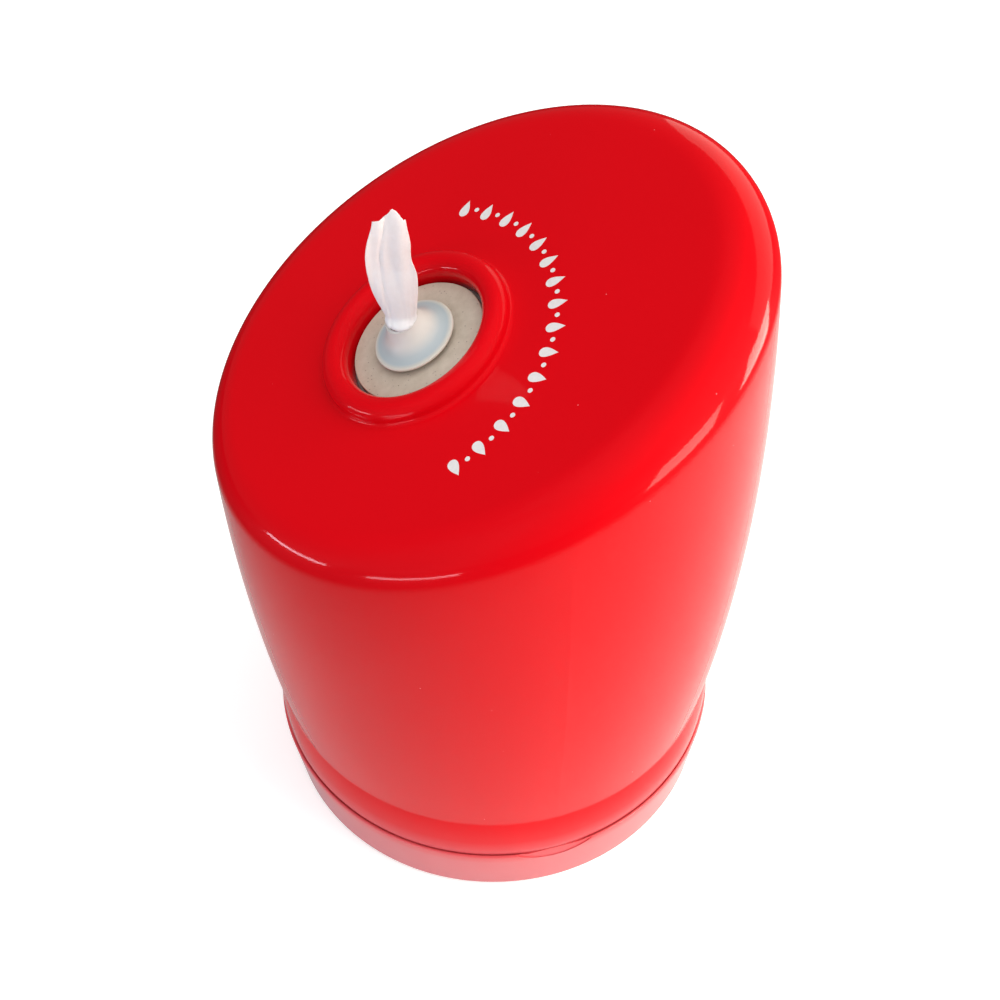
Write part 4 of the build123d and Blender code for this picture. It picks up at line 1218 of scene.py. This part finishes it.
for node, low, high in (("upper_washer", PLATE_FACE, BUSH_SEAT), ("lower_washer", NUT_HIGH, plate_under)):
    outline = ring_outline(BUSH_RADIUS + SLIP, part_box(node)[1].x, low, high, EDGE / 2)
    washer = turned(node + "_rubber", outline, around=64, place=NOZZLE)
    finish_piece(washer, epdm, "cover", replaced=[node])

# %% [markdown]
# The bush has a real outside thread for its nut. A thread is modelled here as a stack of close
# ridges, which look the same as one continuous thread at this size. The nut is a six-sided circle,
# extruded and bevelled, with its bore cut by a Boolean.

# %% Bush
THREAD_PITCH = 1.5 * MM
THREAD_DEPTH = 0.35 * MM

thread_root = BUSH_RADIUS - THREAD_DEPTH
bush_outline = [(BUSH_BORE, BUSH_TAIL_END + EDGE), (BUSH_BORE, BUSH_FLANGE - EDGE),
                (BUSH_BORE + EDGE, BUSH_FLANGE), (BUSH_FLANGE_RADIUS - EDGE, BUSH_FLANGE),
                (BUSH_FLANGE_RADIUS, BUSH_FLANGE - EDGE), (BUSH_FLANGE_RADIUS, BUSH_SEAT),
                (BUSH_RADIUS, BUSH_SEAT), (BUSH_RADIUS, plate_under)]
ridge = plate_under - THREAD_PITCH
while ridge > BUSH_TAIL_END + THREAD_PITCH:
    bush_outline += [(BUSH_RADIUS, ridge), (thread_root, ridge - THREAD_PITCH * 0.4),
                     (thread_root, ridge - THREAD_PITCH * 0.5), (BUSH_RADIUS, ridge - THREAD_PITCH * 0.9)]
    ridge -= THREAD_PITCH
bush_outline += [(BUSH_RADIUS - EDGE, BUSH_TAIL_END), (BUSH_BORE + EDGE, BUSH_TAIL_END),
                 (BUSH_BORE, BUSH_TAIL_END + EDGE)]
bush = turned("nozzle_bush_tube", bush_outline, around=64, place=NOZZLE)
finish_piece(bush, white_pp, "cover", replaced=["nozzle_bush"])

# %% Nut and clamp ring
NUT_CORNER = BUSH_RADIUS + 5 * MM
NUT_BEVEL = 0.5 * MM
NUT_FIT = 0.05 * MM
CLAMP_LOW = FLANGE_FOOT - 3.0 * MM
CLAMP_LAP = 6.0 * MM                    # the ring reaches this far in under the plate's flange
CLAMP_EDGE = 0.4 * MM
CLAMP_SHANK = 1.45 * MM


def pin_outline(radius, low, high):
    """Outline of a plain pin that runs past both faces, to cut a hole with."""
    low, high = low - CUTTER_OVER, high + CUTTER_OVER
    return [(0, low), (radius, low), (radius, high), (0, high)]


nut = start_circle("nozzle_nut_hexagon", 6, NUT_CORNER, NUT_LOW)
bpy.ops.mesh.edge_face_add()
bpy.ops.mesh.extrude_region_move(TRANSFORM_OT_translate={"value": (0, 0, NUT_HIGH - NUT_LOW)})
bpy.ops.mesh.select_all(action="SELECT")
bpy.ops.mesh.bevel(offset=NUT_BEVEL, segments=2, affect="EDGES")
close_skin(nut)
boolean(nut, "DIFFERENCE", turned("bore", pin_outline(BUSH_RADIUS + NUT_FIT, NUT_LOW, NUT_HIGH), around=64))
set_in_place(nut, NOZZLE)
finish_piece(nut, white_pp, "cover", replaced=["nozzle_nut"])

clamp_outline = ring_outline(FLANGE_RADIUS - CLAMP_LAP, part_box("clamp_ring")[1].x, CLAMP_LOW, FLANGE_FOOT,
                             CLAMP_EDGE)
clamp = turned("clamp_ring_disc", clamp_outline, around=128)
for degrees in SCREW_ANGLES:
    boolean(clamp, "DIFFERENCE", turned("hole", pin_outline(CLAMP_SHANK + SLIP, CLAMP_LOW, FLANGE_FOOT),
                                        around=32, place=on_circle(BOSS_CIRCLE, degrees)))
set_in_place(clamp, NOZZLE)
finish_piece(clamp, black_pp, "cover", replaced=["clamp_ring"])

# %% [markdown]
# ## Screws
#
# The clamp screws and the bottom screws are the same kind: a pan head with a drive recess and a
# thread-forming shank. One function turns such a screw and cuts a cross in its head with a Boolean.
# It is then copied to its four places, and each copy gets its own mesh before the four are joined.

# %% Screws
SCREW_PITCH = 1.0 * MM
SCREW_THREAD = 0.14                     # depth of the thread, as a share of the shank's radius
SCREW_THREAD_FROM, SCREW_THREAD_END = 0.5 * MM, 1.6 * MM     # from the head, and from the point
SCREW_TIP = 1.2 * MM
DRIVE_LENGTH, DRIVE_WIDTH, DRIVE_DEPTH = 1.05, 0.24, 1.1     # in radii and heights of the head
DRIVE_TURN, DRIVE_TURN_STEP = 11, 23    # degrees: four screws never stop at the same angle


def pan_screw(shank, head, head_height, length):
    """A pan-head screw standing on its head: the head hangs below height 0, the threaded shank goes up."""
    root = shank - shank * SCREW_THREAD
    head_round = head_height / 2
    outline = [(0, -head_height)] + arc(head - head_round, -head_round, head_round, 270, 360, 5)
    outline += [(head, 0), (shank, 0)]
    z = SCREW_THREAD_FROM
    while z < length - SCREW_THREAD_END:
        outline += [(root, z + SCREW_PITCH * 0.12), (root, z + SCREW_PITCH * 0.5),
                    (shank, z + SCREW_PITCH * 0.72)]
        z += SCREW_PITCH
    outline += [(root, length - SCREW_TIP), (shank * 0.35, length), (0, length)]
    screw = turned("screw", outline, around=28)
    for turn in (0, math.pi / 2):
        bpy.ops.object.select_all(action="DESELECT")
        bpy.ops.mesh.primitive_cube_add(size=1, location=(0, 0, -head_height), rotation=(0, 0, turn))
        recess = bpy.context.object
        recess.scale = (head * DRIVE_LENGTH, head * DRIVE_WIDTH, head_height * DRIVE_DEPTH)
        bpy.ops.object.transform_apply(location=True, rotation=True, scale=True)
        boolean(screw, "DIFFERENCE", recess)
    return screw


def copy_at(pattern, place):
    """A copy with a mesh of its own, set in its place."""
    copy = pattern.copy()
    copy.data = pattern.data.copy()
    bpy.context.scene.collection.objects.link(copy)
    return set_in_place(copy, place)


def four_screws(name, pattern, radius, seat, tilt=Matrix.Identity(4)):
    """Four copies of a screw on a circle, each turned a little differently, joined into one piece."""
    copies = []
    for k, degrees in enumerate(SCREW_ANGLES):
        drive = Matrix.Rotation(math.radians(DRIVE_TURN + DRIVE_TURN_STEP * k), 4, "Z")
        copies.append(copy_at(pattern, tilt @ on_circle(radius, degrees, seat) @ drive))
    bpy.data.objects.remove(pattern)
    return join_pieces(name, copies)


clamp_screw = pan_screw(CLAMP_SHANK, 2.8 * MM, 2.0 * MM, 9.0 * MM)
clamp_set = four_screws("clamp_screws_pan_head", clamp_screw, BOSS_CIRCLE, CLAMP_LOW, NOZZLE)
finish_piece(clamp_set, zinc, "cover", replaced=["clamp_screws"])

# %% [markdown]
# ## The liner
#
# The liner is a thin bucket of natural HDPE, which is milky and a little waxy: light goes some way
# into it. It keeps the roll wet, and its rolled rim makes it stiff enough to lift out. It is turned
# too, with a rounded foot and a rim that rolls over outwards.

# %% Liner
liner_low, liner_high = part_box("liner_bucket")
LINER_WALL = 1.8 * MM
LINER_RIM_WIDTH = 2.6 * MM
LINER_RIM_DEPTH = 5.0 * MM
LINER_TAPER = 1.5 * MM
LINER_FOOT_ROUND = 5.0 * MM
RIM_OUTER_ROUND, RIM_INNER_ROUND = 1.6 * MM, 1.2 * MM
rim_radius = liner_high.x
rim_foot_z = liner_high.z - LINER_RIM_DEPTH
liner_top = rim_radius - LINER_RIM_WIDTH
liner_foot = liner_top - LINER_TAPER
liner_round_z = liner_low.z + LINER_FOOT_ROUND
inner_top, inner_foot = liner_top - LINER_WALL, liner_foot - LINER_WALL
inner_round = LINER_FOOT_ROUND - LINER_WALL
lip_round = LINER_WALL / 2

liner_outline = [(0, liner_low.z), (liner_foot / 2, liner_low.z)]
liner_outline += arc(liner_foot - LINER_FOOT_ROUND, liner_round_z, LINER_FOOT_ROUND, 270, 360, 6)
liner_outline += line((liner_foot, liner_round_z), (liner_top, rim_foot_z), 8)[1:]
liner_outline += [(rim_radius - LINER_WALL, rim_foot_z + MM)]
liner_outline += arc(rim_radius - lip_round, rim_foot_z + lip_round, lip_round, 180, 360, 6)
liner_outline += arc(rim_radius - RIM_OUTER_ROUND, liner_high.z - RIM_OUTER_ROUND, RIM_OUTER_ROUND, 0, 90, 5)
liner_outline += arc(inner_top + RIM_INNER_ROUND, liner_high.z - RIM_INNER_ROUND, RIM_INNER_ROUND, 90, 180, 4)
liner_outline += line((inner_top, rim_foot_z), (inner_foot, liner_round_z), 8)[:-1]
liner_outline += arc(inner_foot - inner_round, liner_round_z, inner_round, 360, 270, 6)
liner_outline += [(liner_foot / 2, liner_low.z + LINER_WALL), (0, liner_low.z + LINER_WALL)]
liner = turned("liner_bucket_skin", liner_outline, around=160)


def natural_hdpe():
    """Milky polyethylene with faint draw lines from top to bottom."""
    material, tree, shader = new_material(
        "natural_hdpe", IOR=1.54, Roughness=0.46, Specular_IOR_Level=0.4, Subsurface_Weight=0.6,
        Subsurface_Scale=1.0, Subsurface_Radius=(5 * MM, 5 * MM, 4.6 * MM))
    where = object_space(tree)
    milky = mix_colour(tree, noise(tree, where, 22.0, 3.0), linear("#DAD9D2"), linear("#ECEBE6"))
    lines = noise(tree, stretched(tree, where, (1, 1, 0.05)), 500.0, 2.0)
    paint(tree, shader, milky, bump(tree, lines, 0.2, 0.05 * MM))
    return material


finish_piece(liner, natural_hdpe(), "liner", replaced=["liner_bucket"])

# %% [markdown]
# ## The refill roll
#
# The roll is wound without a core, and its wipes are drawn from the middle. Its ends show the edges
# of the layers as fine rings. The real layers are 0.35 mm apart, about 160 of them, and are drawn
# coarser here: every ridge stands for three layers. The rings are uneven in height, as a wound roll
# is, the innermost turns have begun to loosen, and the outside is pressed a little out of round.

# %% Refill roll
roll_low, roll_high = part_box("refill_roll")
ROLL_BORE = 28.0 * MM
RIDGE = 3 * CLOTH
RIDGE_DEPTH = 0.5 * MM
UNEVEN = 0.55                           # millimetres that a ridge may lie deeper than another
BORE_MARGIN, RIM_MARGIN = 0.8 * MM, 0.9 * MM     # from the roll's ends to where its plain sides begin
roll_radius = roll_high.x
ridges = round((roll_radius - ROLL_BORE) / RIDGE)
uneven = [chance.uniform(0, UNEVEN) * MM for _ in range(2 * ridges)]


def layered_end(height, inward, first):
    """Outline across one end, from the bore to the outside, as a row of uneven ridges."""
    outline = []
    for k in range(ridges):
        low = ROLL_BORE + (roll_radius - ROLL_BORE) * k / ridges
        high = ROLL_BORE + (roll_radius - ROLL_BORE) * (k + 1) / ridges
        crest = height + inward * uneven[first + k]
        valley = height + inward * (uneven[first + k] + RIDGE_DEPTH)
        outline += [(low + (high - low) * 0.12, valley), (low + (high - low) * 0.40, crest),
                    (low + (high - low) * 0.72, crest), (high - (high - low) * 0.04, valley)]
    return outline


roll_outline = [(ROLL_BORE, roll_low.z + BORE_MARGIN)] + layered_end(roll_low.z, 1, 0)
roll_outline += line((roll_radius, roll_low.z + RIM_MARGIN), (roll_radius, roll_high.z - RIM_MARGIN), 10)
roll_outline += layered_end(roll_high.z, -1, ridges)[::-1]
roll_outline += line((ROLL_BORE, roll_high.z - BORE_MARGIN), (ROLL_BORE, roll_low.z + BORE_MARGIN), 10)
roll = turned("refill_roll_wound", roll_outline, around=144)
print("ridges on each end of the roll:", ridges)

# %% Loosen the inner turns and press the outside
WOBBLE = 0.35 * MM
LOOSE_BAND, PRESSED_BAND = 3 * MM, 0.5 * MM
for v in roll.data.vertices:
    radius = math.hypot(v.co.x, v.co.y)
    turn = math.atan2(v.co.y, v.co.x)
    if radius < ROLL_BORE + LOOSE_BAND:
        loosened = WOBBLE * (1 + math.sin(7 * turn + v.co.z * 60)) * (1 - (radius - ROLL_BORE) / LOOSE_BAND)
        v.co.x *= 1 + loosened / radius
        v.co.y *= 1 + loosened / radius
    if radius > roll_radius - PRESSED_BAND:
        pressed = WOBBLE / 2 * (1 + math.sin(3 * turn + v.co.z * 35) * math.sin(11 * turn - v.co.z * 18))
        v.co.x *= 1 - pressed / radius
        v.co.y *= 1 - pressed / radius
finish_piece(roll, cloth, "refill", replaced=["refill_roll"], crease=50)

# %% [markdown]
# ## Inside the base
#
# A seal ring sits in a groove of the upstand and its rounded lip grips the skirt. Under the floor lies
# a steel ballast disc, pressed up by a foam pad, and a black bottom cover closes the space.

# %% Seal, ballast and pad
SEAL_FACE = upstand_radius - SEAT_CLEARANCE
SEAL_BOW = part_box("cover_seal")[1].x - SEAL_FACE
BALLAST_EDGE = 1.0 * MM
PAD_BULGE = 0.4 * MM                    # the squashed pad's edge bows out by this

seal_outline = [(SEAL_FACE + SEAL_BOW * math.sin(math.pi * k / 12),
                 SEAL_LOW_Z + (SEAL_HIGH_Z - SEAL_LOW_Z) * k / 12) for k in range(13)]
seal_outline += [(seal_seat + EDGE, SEAL_HIGH_Z), (seal_seat, SEAL_HIGH_Z - EDGE),
                 (seal_seat, SEAL_LOW_Z + EDGE), (seal_seat + EDGE, SEAL_LOW_Z), seal_outline[0]]
seal = turned("cover_seal_ring", seal_outline, around=160)
finish_piece(seal, epdm, "base", replaced=["cover_seal"])


def disc_outline(radius, low, high, low_edge, high_edge):
    """Outline of a full disc with a chamfer on each of its edges."""
    return [(0, low), (radius - low_edge, low), (radius, low + low_edge), (radius, high - high_edge),
            (radius - high_edge, high), (0, high)]


ballast_low, ballast_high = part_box("ballast_plate")
ballast_outline = disc_outline(ballast_high.x, ballast_low.z, ballast_high.z, BALLAST_EDGE, BALLAST_EDGE)
ballast = turned("ballast_plate_disc", ballast_outline, around=128)
dull_zinc = zinc_steel("dull_zinc_plated_steel", "#AEB0B0", 0.5)
finish_piece(ballast, dull_zinc, "base", replaced=["ballast_plate"])

pad_low, pad_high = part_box("ballast_pad")
pad_edge = pad_high.x - PAD_BULGE
pad = turned("ballast_pad_foam", [(0, pad_low.z), (pad_edge, pad_low.z),
                                  (pad_high.x, (pad_low.z + pad_high.z) / 2),
                                  (pad_edge, pad_high.z), (0, pad_high.z)], around=128)


def foam():
    """Dark foam with small closed cells, with painted shade in their hollows."""
    material, tree, shader = new_material("dark_closed_cell_foam", Roughness=0.9, Specular_IOR_Level=0.15)
    cells = add_node(tree, "ShaderNodeTexVoronoi", {"Scale": 900.0}, {"Vector": object_space(tree)})
    depth = cells.outputs["Distance"]
    # The cells' hollows are painted darker than their rims: painted shade in the pits.
    paint(tree, shader, mix_colour(tree, depth, linear("#2C2D2E"), linear("#4A4B4D")),
          bump(tree, depth, 0.6, 0.2 * MM))
    return material


finish_piece(pad, foam(), "base", replaced=["ballast_pad"])

# %% [markdown]
# ## Bottom cover, its screws and the feet
#
# The bottom cover is black polypropylene with a spark-eroded texture. Its screw and foot places are
# cut with Booleans from one turned disc. The feet are soft rubber, round, with a rounded edge and two
# rings on the sole that grip the counter. Each has a stud with a barb that pops through the plate.

# %% Bottom cover and its screws
cover_low, cover_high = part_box("bottom_cover")
BOTTOM_EDGE = 0.5 * MM
SCREW_RECESS, SCREW_RECESS_DEPTH, SCREW_HOLE = 3.5 * MM, 1.6 * MM, 2.0 * MM
FOOT_RECESS, FOOT_RECESS_DEPTH = 7.8 * MM, 1.0 * MM
STUD, BARB = 2.4 * MM, 3.2 * MM


def stepped_hole(recess, depth, hole):
    """Outline of a cutter: a recess from below, and a smaller hole right through."""
    low, step, high = cover_low.z - CUTTER_OVER, cover_low.z + depth, cover_high.z + CUTTER_OVER
    return [(0, low), (recess, low), (recess, step), (hole, step), (hole, high), (0, high)]


bottom_outline = disc_outline(cover_high.x, cover_low.z, cover_high.z, BOTTOM_EDGE, EDGE)
bottom_plate = turned("bottom_cover_plate", bottom_outline, around=160)
screw_hole = stepped_hole(SCREW_RECESS, SCREW_RECESS_DEPTH, SCREW_HOLE)
foot_hole = stepped_hole(FOOT_RECESS, FOOT_RECESS_DEPTH, STUD)
for k in range(8):
    cutter = turned("cutter", screw_hole if k % 2 else foot_hole, around=40,
                    place=on_circle(FASTENER_CIRCLE, 45 * k))
    boolean(bottom_plate, "DIFFERENCE", cutter)
finish_piece(bottom_plate, black_pp, "base", replaced=["bottom_cover"])

bottom_screw = pan_screw(1.7 * MM, 3.2 * MM, 1.6 * MM, 7.4 * MM)
bottom_set = four_screws("bottom_screws_pan_head", bottom_screw, FASTENER_CIRCLE,
                         cover_low.z + SCREW_RECESS_DEPTH)
finish_piece(bottom_set, zinc, "base", replaced=["bottom_screws"])

# %% Feet
FOOT_RADIUS, FOOT_TOP = 7.5 * MM, cover_low.z + FOOT_RECESS_DEPTH
FOOT_ROUND, FOOT_CHAMFER = 0.9 * MM, 0.2 * MM
BARB_EDGE = 0.4 * MM
SOLE_DEPTH = 0.35 * MM
# The sole as (radius in millimetres, 1 where it is recessed and 0 where a ring touches the counter)
SOLE = ((0, 1), (1.6, 1), (2.0, 0), (3.2, 0), (3.5, 1), (4.1, 1), (4.4, 0), (5.9, 0))

foot_rubber = rubber("matt_black_rubber", "#262627", 0.7)
foot_outline = [(radius * MM, recessed * SOLE_DEPTH) for radius, recessed in SOLE]
foot_outline += arc(FOOT_RADIUS - FOOT_ROUND, FOOT_ROUND, FOOT_ROUND, 285, 360, 5)
foot_outline += [(FOOT_RADIUS, FOOT_TOP - FOOT_CHAMFER), (FOOT_RADIUS - FOOT_CHAMFER, FOOT_TOP),
                 (STUD, FOOT_TOP), (STUD, cover_high.z), (BARB, cover_high.z),
                 (BARB, cover_high.z + BARB_EDGE), (STUD / 2, cover_high.z + STUD), (0, cover_high.z + STUD)]
foot_pattern = turned("foot", foot_outline, around=56)
for degrees, side in ((0, "right"), (90, "back"), (180, "left"), (270, "front")):
    foot = copy_at(foot_pattern, on_circle(FASTENER_CIRCLE, degrees))
    foot.name = "foot_" + side + "_pad"
    finish_piece(foot, foot_rubber, "base", replaced=["foot_" + side])
bpy.data.objects.remove(foot_pattern)
